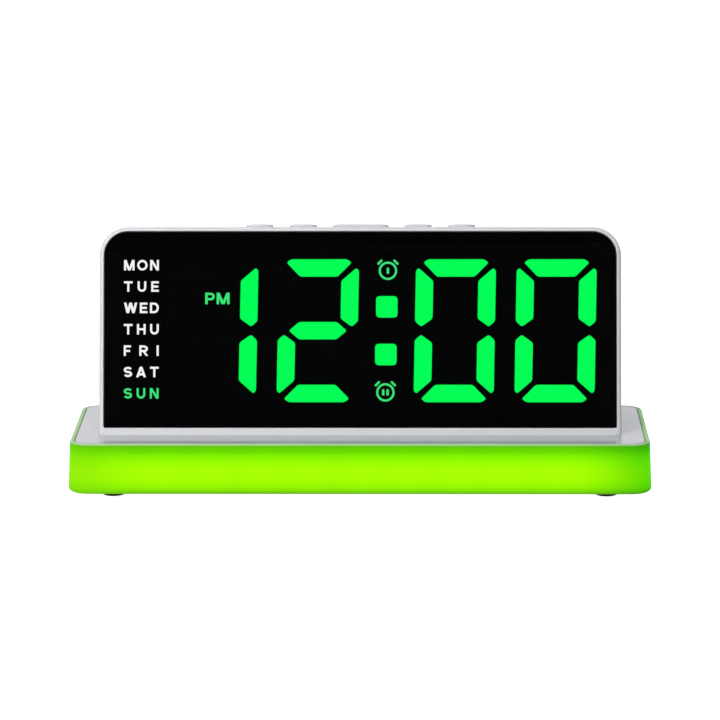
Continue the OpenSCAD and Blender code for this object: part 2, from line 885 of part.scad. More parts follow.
// Lays a component on the back of the display board
module on_board(x, v) {
    translate([x, board_back, v]) rotate([-90, 0, 0]) children();
}

module display_driver_chip() {
    color(chip_black) leaned() on_board(-chip_x, cell_mid + chip_rise) chip(driver_size, driver_legs);
}

module clock_chip() {
    color(chip_black) leaned() on_board(chip_x, cell_mid + chip_rise) chip(clock_size, clock_legs);
}

module clock_crystal() {
    color(steel) leaned()
        translate([chip_x - crystal_l / 2, board_back + crystal_r, cell_mid - crystal_drop])
            rotate([0, 90, 0]) cylinder(r = crystal_r, h = crystal_l);
}

module display_capacitor() {
    color(steel) leaned() on_board(can_x, cell_mid) can();
}

module display_plug() {
    color(plug_cream) leaned() translate([-plug_w / 2, board_back, plug_low])
        cube([plug_w, plug_d, plug_h]);
}

module display_board_screws() {
    color(steel) leaned() board_boss_places() translate([0, 0, board_back])
        screw(board_t + mask_t - screw_short);
}

// ---- Buttons ----

module key_board() {
    color(board_green) leaned() difference() {
        translate([-key_board_half, key_board_front, key_board_top - small_board_t])
            cube([2 * key_board_half, key_board_d, small_board_t]);
        key_post_places() translate([0, 0, key_board_top - small_board_t - cut])
            cylinder(r = screw_hole_r, h = small_board_t + 2 * cut);
    }
}

module key_board_screws() {
    color(steel) leaned() key_post_places() translate([0, 0, key_board_top - small_board_t])
        mirror([0, 0, 1]) screw(key_screw);
}

module key_cable() {
    color("dimgray") leaned() translate([-ribbon_w / 2, board_back, key_board_top - ribbon_l])
        cube([ribbon_w, key_board_gap, ribbon_l]);
}

module switch_body(i) {
    color(chip_black) leaned() translate([key_places[i], key_mid, key_board_top]) difference() {
        translate([-switch_side / 2, -switch_side / 2, 0]) cube([switch_side, switch_side, switch_h]);
        translate([0, 0, switch_h - plunger_sink - key_travel - switch_spare])
            cylinder(r = plunger_r + plunger_gap, h = switch_h);
    }
}

module plunger(i) {
    color(plug_cream) leaned() translate([key_places[i], key_mid, switch_top - plunger_sink])
        cylinder(r = plunger_r, h = plunger_sink + plunger_show);
}

module button(i) {
    length = key_length(i);
    top = case_h + button_rise;
    step = button_step;
    color(shell_white) leaned() translate([key_places[i], key_mid, 0]) {
        translate([0, 0, flange_top - flange_t]) linear_extrude(flange_t)
            pill(length + 2 * flange_w, button_d + 2 * flange_w);
        translate([0, 0, flange_top]) linear_extrude(top - step - flange_top) pill(length, button_d);
        translate([0, 0, top - step]) linear_extrude(step) pill(length - 2 * step, button_d - 2 * step);
    }
}

module switch_left_outer() { switch_body(0); }
module switch_left_inner() { switch_body(1); }
module switch_snooze() { switch_body(2); }
module switch_right_inner() { switch_body(3); }
module switch_right_outer() { switch_body(4); }

module plunger_left_outer() { plunger(0); }
module plunger_left_inner() { plunger(1); }
module plunger_snooze() { plunger(2); }
module plunger_right_inner() { plunger(3); }
module plunger_right_outer() { plunger(4); }

module button_left_outer() { button(0); }
module button_left_inner() { button(1); }
module button_snooze() { button(2); }
module button_right_inner() { button(3); }
module button_right_outer() { button(4); }

// ---- Sound, battery and power ----

module buzzer() {
    color(chip_black) leaned() translate([buzzer_x, cover_front - buzzer_t, buzzer_v]) rotate([-90, 0, 0])
        difference() {
            cylinder(r = buzzer_r, h = buzzer_t);
            translate([0, 0, buzzer_t - buzzer_hole_d]) cylinder(r = buzzer_hole_r, h = cut);
        }
}

module coin_cell() {
    step = 0.9;
    color(steel) leaned() translate([battery_x, cell_front, cell_mid]) rotate([-90, 0, 0]) {
        cylinder(r = cell_r - step, h = step);
        translate([0, 0, step]) cylinder(r = cell_r, h = cell_t - step);
    }
}

module battery_contact_negative() {
    color(steel) leaned() slab(pocket_floor, pocket_floor + contact_t)
        block_2d(battery_x, cell_mid, cell_r * contact_share, contact_w / 2);
}

module battery_contact_positive() {
    clip_v = cell_mid + pocket_r + clip_slot - contact_t - clip_gap;
    clip_back = cell_back + clip_gap;
    color(steel) leaned() translate([battery_x - clip_half, 0, 0]) {
        slab(pocket_floor, clip_back + contact_t) translate([0, clip_v]) square([2 * clip_half, contact_t]);
        slab(clip_back, clip_back + contact_t)
            translate([0, clip_v - clip_reach]) square([2 * clip_half, clip_reach + contact_t]);
    }
}

module battery_door() {
    color(shell_white) leaned() difference() {
        slab(door_seat + door_gap, case_d)
            block_2d(battery_x, cell_mid, door_half, door_half + door_extra);
        for (i = [0 : grooves - 1]) slab(case_d - groove_d, case_d + cut)
            block_2d(battery_x, groove_high - groove_pitch * i, groove_half, groove_w / 2);
    }
}

module power_board() {
    color(board_green) leaned() difference() {
        translate([power_x - power_board_half, power_board_front, power_low])
            cube([2 * power_board_half, power_board_back - power_board_front, small_board_t]);
        power_post_places() translate([0, 0, power_low - cut])
            cylinder(r = screw_hole_r, h = small_board_t + 2 * cut);
    }
}

module power_board_screws() {
    color(steel) leaned() power_post_places() translate([0, 0, power_top])
        screw(small_board_t + screw_bite);
}

module power_socket_shell() {
    color(steel) leaned() difference() {
        slab(socket_back - socket_l, socket_back) translate([power_x, socket_mid]) socket_outline(0);
        slab(socket_back - socket_l - cut, socket_back + cut)
            translate([power_x, socket_mid]) socket_outline(-socket_wall);
    }
}

module power_socket_tongue() {
    tongue_end = socket_back - tongue_sink;
    color(chip_black) leaned() {
        slab(socket_back - socket_l, tongue_end - tongue_l)
            translate([power_x, socket_mid]) socket_outline(-socket_wall - tongue_gap);
        slab(tongue_end - tongue_l, tongue_end)
            block_2d(power_x, socket_mid, tongue_w / 2, tongue_t / 2);
    }
}

base_diffuser();
base_top_cover();
base_bottom_cover();
foot_front_left();
foot_front_right();
foot_rear_left();
foot_rear_right();
base_screws();
light_board();
light_leds();
light_driver_chip();
light_capacitor();
light_plug();
light_board_screws();
link_cable();
front_housing();
housing_screws();
rear_cover();
rear_cover_screws();
display_window();
window_gasket();
segment_film();
segment_mask();
display_board();
display_leds();
display_driver_chip();
clock_chip();
clock_crystal();
display_capacitor();
display_plug();
display_board_screws();
key_board();
key_board_screws();
key_cable();
switch_left_outer();
switch_left_inner();
switch_snooze();
switch_right_inner();
switch_right_outer();
plunger_left_outer();
plunger_left_inner();
plunger_snooze();
plunger_right_inner();
plunger_right_outer();
button_left_outer();
button_left_inner();
button_snooze();
button_right_inner();
button_right_outer();
buzzer();
coin_cell();
battery_contact_positive();
battery_contact_negative();
battery_door();
power_board();
power_board_screws();
power_socket_shell();
power_socket_tongue();
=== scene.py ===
"""A digital alarm clock: a leaning white case with a dark display, on a flat base whose rim glows green."""

import json
import math

import bmesh
import bpy
import numpy as np
from mathutils import Matrix, Vector
from mathutils.geometry import delaunay_2d_cdt


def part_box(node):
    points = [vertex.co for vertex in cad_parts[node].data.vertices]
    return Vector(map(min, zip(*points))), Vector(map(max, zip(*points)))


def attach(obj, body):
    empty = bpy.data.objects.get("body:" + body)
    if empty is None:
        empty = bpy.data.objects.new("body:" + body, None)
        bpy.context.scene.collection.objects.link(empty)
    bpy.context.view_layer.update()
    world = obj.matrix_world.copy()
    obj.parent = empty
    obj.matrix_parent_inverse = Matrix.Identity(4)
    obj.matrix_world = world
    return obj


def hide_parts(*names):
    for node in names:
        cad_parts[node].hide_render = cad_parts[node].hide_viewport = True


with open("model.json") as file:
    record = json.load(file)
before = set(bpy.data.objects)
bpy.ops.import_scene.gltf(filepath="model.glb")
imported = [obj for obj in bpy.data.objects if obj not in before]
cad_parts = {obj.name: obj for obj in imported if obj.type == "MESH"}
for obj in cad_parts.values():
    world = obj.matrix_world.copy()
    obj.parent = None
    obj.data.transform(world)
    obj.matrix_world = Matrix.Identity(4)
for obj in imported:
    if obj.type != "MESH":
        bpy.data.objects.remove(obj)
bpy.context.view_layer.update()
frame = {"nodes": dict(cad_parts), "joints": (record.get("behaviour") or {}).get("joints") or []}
CLOCK = "clock"
MM = 0.001


# ---- Light-up ring ----
# The rim of the base is one hoop of milky acrylic, moulded with a little draft so that it leaves its mould.
# The lid and the bottom cover drop into steps inside its two edges, and the lamps behind it light its wall.


def loop(half, low, high, r_low, r_high, steps=10):
    """Closed outlines, one per row: a point is the corner's centre plus the corner's radius times the
    direction of an angle, which runs through a quarter turn at each corner. Returns rows x points x 2."""
    half, low, high, r_low, r_high = (
        np.atleast_1d(np.asarray(v, float))[:, None] for v in (half, low, high, r_low, r_high)
    )
    turn = np.concatenate([np.linspace(k, k + 1, steps + 1) for k in range(4)]) * math.pi / 2
    corner = np.repeat(np.arange(4), steps + 1)
    side = np.where((corner == 0) | (corner == 3), 1.0, -1.0)
    radius = np.where(corner < 2, r_high, r_low)
    middle_y = np.where(corner < 2, high - radius, low + radius)
    x = side * (half - radius) + radius * np.cos(turn)
    y = middle_y + radius * np.sin(turn)
    return np.stack([x + 0 * y, y], axis=-1)


def quarter(steps=5):
    """Sine and 1 - cosine of a quarter turn, for rounding an edge."""
    angle = np.linspace(0, math.pi / 2, steps + 1)
    return np.sin(angle), 1 - np.cos(angle)


def make_mesh(name, points, faces, body=CLOCK):
    """A smooth-shaded object whose faces point outwards: the signed volume under the faces, summed as fans of
    triangles, tells whether they have to be turned round."""
    fans = np.array([(f[0], f[i], f[i + 1]) for f in faces for i in range(1, len(f) - 1)])
    a, b, c = (points[fans[:, i]] for i in range(3))
    if np.einsum("ij,ij->i", a, np.cross(b, c)).sum() < 0:
        faces = [f[::-1] for f in faces]
    mesh = bpy.data.meshes.new(name)
    mesh.from_pydata(points.tolist(), [], faces)
    mesh.update()
    piece = bpy.data.objects.new(name, mesh)
    bpy.context.scene.collection.objects.link(piece)
    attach(piece, body)
    shade(piece)
    return piece


def shade(piece):
    """Smooth shading that keeps edges of more than 38 degrees sharp, and flat faces flat."""
    piece.data.shade_smooth()
    piece.data.set_sharp_from_angle(angle=math.radians(38))
    if "flats" not in piece.modifiers:
        flats = piece.modifiers.new("flats", "WEIGHTED_NORMAL")
        flats.keep_sharp = True


def skin(name, rows, ring=False, body=CLOCK):
    """A solid from rows x points x 3: quads join each closed row to the next. A ring joins its last row to
    its first, and any other skin is closed by one flat face at each end."""
    count, around = rows.shape[:2]
    row = np.arange(count if ring else count - 1)[:, None]
    column = np.arange(around)[None, :]
    nxt_row, nxt_column = (row + 1) % count, (column + 1) % around
    corners = (
        row * around + column,
        row * around + nxt_column,
        nxt_row * around + nxt_column,
        nxt_row * around + column,
    )
    faces = np.stack([np.broadcast_to(c, (len(row), around)) for c in corners], -1).reshape(-1, 4).tolist()
    if not ring:
        faces.append(list(range(around))[::-1])
        faces.append(list(range((count - 1) * around, count * around)))
    return make_mesh(name, rows.reshape(-1, 3), faces, body)


class Signal:
    """A value that varies over a surface. Arithmetic on it adds Math nodes to its material."""

    def __init__(self, finish, socket):
        self.finish, self.socket = finish, socket

    def math(self, operation, *values):
        return self.finish.node("ShaderNodeMath", {"operation": operation}, dict(enumerate(values)))

    def __add__(self, other):
        return self.math("ADD", self, other)

    def __mul__(self, other):
        return self.math("MULTIPLY", self, other)

    __radd__, __rmul__ = __add__, __mul__


class Finish:
    """A material in the making. Constants go straight onto the shader's own sockets, by name."""

    def __init__(self, name, **constants):
        self.material = bpy.data.materials.new(name)
        self.material.use_nodes = True
        self.tree = self.material.node_tree
        self.shader = self.tree.nodes["Principled BSDF"]
        for socket, value in constants.items():
            self.socket(socket).default_value = value

    def socket(self, keyword):
        """The shader's socket that a keyword stands for."""
        return self.shader.inputs[keyword.replace("_", " ").title().replace("Ior", "IOR")]

    def node(self, kind, settings=None, inputs=None, output=0):
        """Adds a node: its settings first, then its sockets' values or links. Stops are places and colours."""
        made = self.tree.nodes.new(kind)
        for key, value in (settings or {}).items():
            if key == "stops":
                ramp = made.color_ramp
                while len(ramp.elements) < len(value):
                    ramp.elements.new(1.0)
                for element, (place, colour) in zip(ramp.elements, value):
                    element.position, element.color = place, colour
            else:
                setattr(made, key, value)
        for key, value in (inputs or {}).items():
            if isinstance(value, Signal):
                self.tree.links.new(value.socket, made.inputs[key])
            else:
                made.inputs[key].default_value = value
        return Signal(self, made.outputs[output])

    def drive(self, **sockets):
        """Feeds the shader's sockets with signals."""
        for socket, signal in sockets.items():
            self.tree.links.new(signal.socket, self.socket(socket))

    def where(self):
        """The surface's own coordinates, in metres."""
        return self.node("ShaderNodeTexCoord", output="Object")

    def parts(self, vector):
        """The three numbers of a vector."""
        split = self.node("ShaderNodeSeparateXYZ", inputs={0: vector})
        return [Signal(self, s) for s in split.socket.node.outputs]

    def noise(self, scale, detail=2.0, at=None):
        """Soft random patches, 0 to 1; the scale is in patches per metre."""
        sockets = {"Vector": at or self.where(), "Scale": scale, "Detail": detail}
        return self.node("ShaderNodeTexNoise", {}, sockets)

    def streaks(self, scale, detail):
        """Noise stretched along the axes: the scale is in patches per metre along each."""
        return self.noise(1.0, detail, self.node("ShaderNodeMapping", {}, {0: self.where(), "Scale": scale}))

    def waves(self, value, pitch):
        """The cosine of a length, with one full wave in each pitch."""
        phase = value * (2 * math.pi / pitch)
        return phase.math("COSINE", phase)

    def mix(self, factor, a, b):
        """The colour a where the factor is 0 and b where it is 1."""
        return self.node("ShaderNodeMix", {"data_type": "RGBA"}, {0: factor, 6: a, 7: b}, output=2)

    def fit(self, value, low, high, to_low=0.0, to_high=1.0):
        """The value carried from one range to another, 0 to 1 unless told, and held at its ends."""
        return self.node("ShaderNodeMapRange", {}, {0: value, 1: low, 2: high, 3: to_low, 4: to_high})

    def bump(self, height, distance, strength=1.0):
        """Feeds the surface's normal from a height, 0 to 1, whose full rise is the distance."""
        sockets = {"Height": height, "Distance": distance, "Strength": strength}
        self.drive(normal=self.node("ShaderNodeBump", {}, sockets))


def linear(red, green, blue):
    """A screen colour, 0 to 255, as the light that it stands for."""
    share = np.array([red, green, blue]) / 255
    light = np.where(share <= 0.04045, share / 12.92, ((share + 0.055) / 1.055) ** 2.4)
    return (*light.tolist(), 1.0)


def wear(piece, material):
    """Gives a piece or a CAD node one material all over."""
    piece.data.materials.clear()
    piece.data.materials.append(material)


def ring_finish(low, high):
    """Milky acrylic lit from inside: the wall is brightest at lamp height, a darker green towards its two
    edges, and its flat edge, which the lamps reach least, is pale. Faint pools of light stand in front of the
    lamps. Painted shade darkens the green at the ring's corners: fully at the two on the right, away from the
    key lamp, and half way at the two on the left, below the flat edge. The light fades on the faces inside the
    ring."""
    finish = Finish("lit_acrylic", specular_ior_level=0.04, emission_strength=1.0)
    x, y, z = finish.parts(finish.where())
    height = finish.fit(z, low, high)
    glow = finish.node(
        "ShaderNodeValToRGB",
        {
            "stops": [
                (0.0, linear(96, 160, 20)),
                (0.09, linear(130, 225, 2)),
                (0.17, linear(148, 246, 0)),
                (0.3, linear(165, 254, 0)),
                (0.49, linear(169, 255, 0)),
                (0.65, linear(150, 252, 0)),
                (0.78, linear(128, 237, 0)),
                (0.85, linear(104, 219, 0)),
                (0.94, linear(96, 200, 0)),
                (0.97, linear(92, 180, 10)),
                (1.0, linear(62, 124, 24)),
            ]
        },
        {0: height},
    )
    lamp_pitch = 13.8 * MM
    pools = finish.waves(x, lamp_pitch)
    cloud = finish.noise(38, 2.0)
    level = pools * 0.012 + cloud * 0.06 + 0.95
    # Painted shade: the glow is darkened at the ring's four corners, fully at the two on the right and half
    # way towards a fixed mid green at the two on the left.
    shade_corner_x = finish.fit(x.math("ABSOLUTE", x), 62 * MM, 81 * MM)
    shade_corner_y = finish.fit(y.math("ABSOLUTE", y), 12 * MM, 24 * MM)
    middle_band = -1 * MM, 1 * MM
    right_corner_shade = shade_corner_x * shade_corner_y * finish.fit(x, *middle_band)
    below_edge = finish.fit(height, 0.91, 0.97, 1.0, 0.0)
    left_corner_shade = shade_corner_x * shade_corner_y * below_edge * finish.fit(x, *middle_band, 0.5, 0.0)
    shaded_glow = finish.node("ShaderNodeVectorMath", {"operation": "MULTIPLY"}, {0: glow, 1: (0.30, 0.70, 1.0)})
    glow_and_corner_shade = finish.mix(left_corner_shade, finish.mix(right_corner_shade, glow, shaded_glow), linear(120, 216, 8))
    outside = finish.node("ShaderNodeAttribute", {"attribute_name": "outside"}, output="Fac")
    level = level * (outside * 0.6 + 0.4)
    lit = finish.node("ShaderNodeVectorMath", {"operation": "SCALE"}, {0: glow_and_corner_shade, "Scale": level})
    finish.drive(emission_color=lit)
    edge_top = finish.fit(height, 0.965, 0.998)
    milk = finish.mix(cloud, (0.36, 0.42, 0.29, 1), (0.42, 0.48, 0.34, 1))
    body_green = finish.mix(cloud, (0.010, 0.035, 0.0, 1), (0.014, 0.045, 0.0, 1))
    finish.drive(base_color=finish.mix(edge_top, body_green, milk))
    grain = finish.noise(2600, 3.0)
    finish.drive(roughness=finish.fit(finish.noise(160, 3.0), 0.35, 0.65, 0.36, 0.5))
    finish.bump(grain, 0.02 * MM, 0.5)
    return finish.material


ring_low, ring_high = (np.array(c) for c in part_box("base_diffuser"))
DECK = ring_high[2]
BASE_LOW = ring_low[2]
base_corner = 6 * MM
draft = 0.55 * MM
rim = 1.3 * MM
ring_wall = 2.6 * MM
lid_step = 2.0 * MM
top_round = 0.5 * MM
low_round = 1.25 * MM
bevel = 0.12 * MM

sine, rise = quarter(6)
out_low = np.column_stack([-low_round * (1 - sine), BASE_LOW + low_round * rise])
wall_steps = np.linspace(0, 1, 8)[1:-1]
wall_height = DECK - top_round - BASE_LOW - low_round
out_wall = np.column_stack([-draft * wall_steps, BASE_LOW + low_round + wall_height * wall_steps])
out_top = np.column_stack([-draft - top_round * rise, DECK - top_round * (1 - sine)])
inside = np.array(
    [
        (-draft - rim + bevel, DECK),
        (-draft - rim, DECK - bevel),
        (-draft - rim, DECK - lid_step),
        (-draft - ring_wall, DECK - lid_step),
        (-draft - ring_wall, BASE_LOW + lid_step),
        (-draft - rim, BASE_LOW + lid_step),
        (-draft - rim, BASE_LOW + bevel),
        (-draft - rim + bevel, BASE_LOW),
    ]
)
profile = np.concatenate([out_low, out_wall, out_top, inside])
grow, level = profile[:, 0], profile[:, 1]


def level_rows(low, high, corner, grow, level, steps=10):
    """Rows of a rounded rectangle that lie flat: each is grown past the box by grow, at its own level."""
    path = loop(high[0] + grow, low[1] - grow, high[1] + grow, corner + grow, corner + grow, steps)
    return np.concatenate([path, np.broadcast_to(level[:, None, None], (*path.shape[:2], 1))], -1)


ring_rows = level_rows(ring_low, ring_high, base_corner, grow, level, 14)
glow_ring = skin("glow_ring", ring_rows, ring=True)
outside = np.repeat(np.arange(len(profile)) < len(profile) - len(inside), ring_rows.shape[1])
outside_attribute = glow_ring.data.attributes.new("outside", "FLOAT", "POINT")
outside_attribute.data.foreach_set("value", outside.astype(np.float32))
wear(glow_ring, ring_finish(BASE_LOW, DECK))
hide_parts("base_diffuser")


# ---- Deck plate ----
# The lid of the base is a flat white plate, injection moulded, with a fine satin face. It drops into the ring
# and is held by four screws from below; the case stands on it.


def darker(colour, share):
    """A colour with only a share of its light."""
    return (*(share * c for c in colour[:3]), 1.0)


def plastic_finish(name, colour, roughness=(0.30, 0.42), grain=0.012 * MM, specular=0.5):
    """Moulded ABS: a spark-eroded grain, slow drifts of shade from the flow in the mould, and fine scuffs
    that change only its gloss."""
    finish = Finish(name, specular_ior_level=specular)
    flow = finish.noise(16, 2.0)
    speck = finish.noise(900, 2.0)
    drift = finish.fit(flow * 0.85 + speck * 0.15, 0.3, 0.7)
    finish.drive(base_color=finish.mix(drift, darker(colour, 0.982), colour))
    scuffed = finish.fit(finish.streaks((260.0, 1900.0, 900.0), 4.0), 0.56, 0.72, 0.0, 0.04)
    finish.drive(roughness=finish.fit(finish.noise(75, 3.0), 0.3, 0.7, *roughness) + scuffed)
    finish.bump(finish.noise(3800, 2.0), grain, 0.6)
    return finish.material


lid_low, lid_high = (np.array(c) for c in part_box("base_top_cover"))
seat = 0.15 * MM
hair = 0.02 * MM  # keeps two faces from lying on each other
lid_corner = base_corner - draft - rim - seat
lid_round = 0.22 * MM
flat_in = 0.3 * MM
sine, rise = quarter(4)
lid_in = np.concatenate([[-flat_in - lid_round], -lid_round * rise[::-1], [0.0]])
lid_z = np.concatenate([[DECK], DECK - lid_round * (1 - sine[::-1]), [DECK - lid_step + hair]])
deck_plate = skin("deck_plate", level_rows(lid_low, lid_high, lid_corner, lid_in, lid_z))
deck_white = plastic_finish("deck_plastic", (0.487, 0.489, 0.538, 1), (0.10, 0.15), 0.003 * MM, 0.75)
wear(deck_plate, deck_white)
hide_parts("base_top_cover")


# ---- Feet ----
# Four moulded rubber buttons are pressed into round pockets in the bottom cover. Each has a rolled lower edge
# and a shallow dish in its sole.


def revolve(name, profile, centre, steps=48):
    """A solid turned round an upright axis: each row is a circle with the profile's radius at its height."""
    turn = np.linspace(0, 2 * math.pi, steps, endpoint=False)
    radius, height = profile[:, 0, None], profile[:, 1, None]
    x, y = centre[0] + radius * np.cos(turn), centre[1] + radius * np.sin(turn)
    return skin(name, np.stack([x, y, height + 0 * turn], -1))


rubber = Finish("foot_rubber", specular_ior_level=0.12)
dust = rubber.noise(240, 4.0)
dusty = rubber.fit(dust, 0.45, 0.7)
rubber.drive(base_color=rubber.mix(dusty, (0.003, 0.003, 0.003, 1), (0.008, 0.008, 0.008, 1)))
rubber.drive(roughness=rubber.fit(dust, 0.3, 0.7, 0.55, 0.8))
rubber.bump(rubber.noise(2400, 3.0), 0.03 * MM, 0.7)

roll = 0.8 * MM
sole_middle, dish_r, dish_edge_r, dish_depth = 0.3 * MM, 1.35 * MM, 1.5 * MM, 0.12 * MM
sine, rise = quarter(6)
for corner in ("front_left", "front_right", "rear_left", "rear_right"):
    foot_low, foot_high = (np.array(c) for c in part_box("foot_" + corner))
    radius = (foot_high[0] - foot_low[0]) / 2
    sole = [(sole_middle, dish_depth), (dish_r, dish_depth), (dish_edge_r, 0.0)]
    edge = np.column_stack([radius - roll + roll * sine, roll * rise])
    profile = np.concatenate([sole, edge, [(radius, foot_high[2] - hair)]])
    foot = revolve("rubber_foot_" + corner, profile, (foot_low + foot_high) / 2)
    wear(foot, rubber.material)
    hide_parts("foot_" + corner)


# ---- Directions of the leaning case ----
# The keys press straight down the slope of the case and the battery door pulls straight out of its back, so
# the two joints give the case's own directions. Its origin is the middle of the foot of its face.
joints = {j["name"]: j for j in frame["joints"]}
SLOPE = -np.array(joints["button_snooze_press"]["axis"])
DEPTH = np.array(joints["battery_door_pull"]["axis"])
ACROSS = np.array([1.0, 0.0, 0.0])
CASE_AXES = np.stack([ACROSS, DEPTH, SLOPE])
LEAN = math.atan2(SLOPE[1], SLOPE[2])


def own_points(node):
    """A CAD node's vertices along the case's directions, from the frame's origin."""
    mesh = frame["nodes"][node].data
    found = np.empty(len(mesh.vertices) * 3)
    mesh.vertices.foreach_get("co", found)
    return found.reshape(-1, 3) @ CASE_AXES.T


case_start = own_points("front_housing").min(0) * np.array([0, 1, 1])


def span(node):
    """A CAD node's lowest and highest place across, in depth and up the slope, from the case's origin."""
    found = own_points(node) - case_start
    return found.min(0), found.max(0)


def in_case(across, depth, slope):
    """Points in the frame, from their places across, in depth and up the slope of the case."""
    own = np.stack(np.broadcast_arrays(across, depth, slope), -1) + case_start
    return own @ CASE_AXES


# ---- Front housing ----
# One white moulding makes the thin frame round the window, the two sides and the top. Its edges are rolled,
# its top has five pill-shaped slots for the keys, and its foot is cut level to stand on the deck.


def carve(piece, cutters):
    """Cuts other solids out of a piece, and removes them."""
    for cutter in cutters:
        tool = piece.modifiers.new("cut", "BOOLEAN")
        tool.operation, tool.solver, tool.object = "DIFFERENCE", "EXACT", cutter
        settle(piece)
        bpy.data.objects.remove(cutter)
    shade(piece)


def settle(piece):
    """Puts the result of a piece's modifiers into its mesh."""
    for modifier in [m for m in piece.modifiers if m.type == "WEIGHTED_NORMAL"]:
        piece.modifiers.remove(modifier)
    result = bpy.data.meshes.new_from_object(piece.evaluated_get(bpy.context.evaluated_depsgraph_get()))
    piece.modifiers.clear()
    piece.data = result


def case_skin(name, table, ring=False):
    """A skin in the case's directions. Each row of the table is half width, low, high, low corner's radius,
    top corner's radius, depth, and a height above the deck under which no point lies: at that height, the
    place up the slope is the depth times the lean's tangent, plus the height over its cosine."""
    half, low, high, r_low, r_high, depth, above = np.asarray(table, float).T
    path = loop(half, low, high, r_low, r_high)
    deck_line = depth * math.tan(LEAN) + above / math.cos(LEAN)
    slope = np.maximum(path[..., 1], deck_line[:, None])
    return skin(name, in_case(path[..., 0], depth[:, None], slope), ring)


_, (CASE_HALF, COVER_FRONT, CASE_TOP) = span("front_housing")
window_low, window_high = span("display_window")
film_low, film_high = span("segment_film")
bezel = CASE_HALF - window_high[0]
sill = window_low[2]
case_corner = 8.2 * MM
wall = 2.0 * MM
window_gap = 0.04 * MM
square = 0.3 * MM
low_corner = 0.6 * MM
face_round = 1.05 * MM
lip_round = 0.16 * MM
back_round = 0.18 * MM
FILM_FRONT = film_low[1]
ledge_gap = 0.2 * MM
film_lap = 0.7 * MM
ledge_front = window_high[1] + ledge_gap
sight_half = film_high[0] - film_lap
sight_low, sight_high = film_low[2] + film_lap, film_high[2] - film_lap
BARE = -1.0  # no point is held above the deck


def outer_row(inset, depth, above=0.0):
    """A row of the outer skin, drawn in from the case's outline."""
    return (CASE_HALF - inset, 0.0, CASE_TOP - inset, square, case_corner - inset, depth, above)


def window_row(outset, depth):
    """A row round the window's opening."""
    reach = window_gap + outset
    corner = case_corner - bezel + reach
    half, top = window_high[0] + reach, window_high[2] + reach
    return (half, sill - reach, top, low_corner + reach, corner, depth, BARE)


sine, rise = quarter(5)
table = [window_row(0, ledge_front)]
table += [window_row(lip_round * c, lip_round * (1 - s)) for s, c in zip(sine, rise)]
table += [outer_row(face_round * (1 - s), face_round * c) for s, c in zip(sine, rise)]
table += [outer_row(0, d * COVER_FRONT) for d in (0.2, 0.5, 0.8)]
table += [outer_row(back_round * c, COVER_FRONT - back_round * (1 - s)) for s, c in zip(sine, rise)]
table += [
    (CASE_HALF - wall, wall, CASE_TOP - wall, square, case_corner - wall, COVER_FRONT, wall),
    (CASE_HALF - wall, wall, CASE_TOP - wall, square, case_corner - wall, FILM_FRONT, wall),
    (sight_half, sight_low, sight_high, square, square, FILM_FRONT, BARE),
    (sight_half, sight_low, sight_high, square, square, ledge_front, BARE),
]
front_shell = case_skin("front_shell", table, ring=True)

KEYS = ("left_outer", "left_inner", "snooze", "right_inner", "right_outer")
flange = 0.9 * MM
slot_gap = 0.2 * MM


def key_place(key):
    """Middle across, middle depth and half length of a key's cap."""
    low, high = span("button_" + key)
    return (low[0] + high[0]) / 2, (low[1] + high[1]) / 2, (high[0] - low[0]) / 2 - flange


snooze_low, snooze_high = span("button_snooze")
key_half_depth = (snooze_high[1] - snooze_low[1]) / 2 - flange


def pill_rows(key, inset, slopes):
    """Rows of a key's pill outline across the case's top, each with its inset and its place up the slope."""
    middle, depth, half_length = key_place(key)
    half_depth = key_half_depth - inset
    path = loop(half_length - inset, -half_depth, half_depth, half_depth, half_depth)
    return in_case(middle + path[..., 0], depth + path[..., 1], slopes[:, None])


slot_reach = np.array([CASE_TOP - wall - MM, CASE_TOP + MM])
slots = [skin("slot_" + key, pill_rows(key, np.full(2, -slot_gap), slot_reach)) for key in KEYS]
carve(front_shell, slots)
case_white = plastic_finish("case_plastic", (0.67, 0.665, 0.68, 1), (0.30, 0.40))
wear(front_shell, case_white)
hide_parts("front_housing")


# ---- Keys ----
# Four short keys and the long snooze key are white caps with a rolled edge and a slightly crowned top. Each
# has a flange under the case's top, rides on a switch and comes back up by itself.
key_white = plastic_finish("key_plastic", (0.62, 0.62, 0.64, 1), (0.30, 0.42), 0.008 * MM)
key_round = 0.4 * MM
crown = 0.12 * MM
flange_top = CASE_TOP - wall - seat
crown_in = np.array([0.252, 0.504, 0.72]) * key_half_depth
crown_drop = crown * np.array([0.65, 0.3, 0.05]) ** 2
sine, rise = quarter(6)
for key in KEYS:
    low, high = span("button_" + key)
    edge_slope = high[2] - crown - key_round + key_round * sine
    inset = np.concatenate([[-flange, -flange, 0], key_round * rise, key_round + crown_in])
    slopes = np.concatenate([[low[2], flange_top, flange_top], edge_slope, high[2] - crown_drop])
    cap = skin("key_" + key, pill_rows(key, inset, slopes), body="button_" + key)
    wear(cap, key_white)
    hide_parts("button_" + key)


# ---- Display window ----
# A sheet of smoked acrylic with polished faces and a broken edge is stuck into the front of the housing.
PANE_DARK = 0.32
smoke = (0.001, 0.0013, 0.0016, 1)
window_finish = Finish("smoked_acrylic", base_color=smoke, alpha=PANE_DARK, specular_ior_level=0.42, ior=1.49)
smear = window_finish.noise(34, 4.0)
window_finish.drive(roughness=window_finish.fit(smear, 0.4, 0.75, 0.035, 0.075))
pane_round = 0.14 * MM
sine, rise = quarter(3)


def pane_row(inset, depth):
    """A row of the window's skin, drawn in from its outline."""
    corner = case_corner - bezel - inset
    return (window_high[0] - inset, sill + inset, window_high[2] - inset, low_corner, corner, depth, BARE)


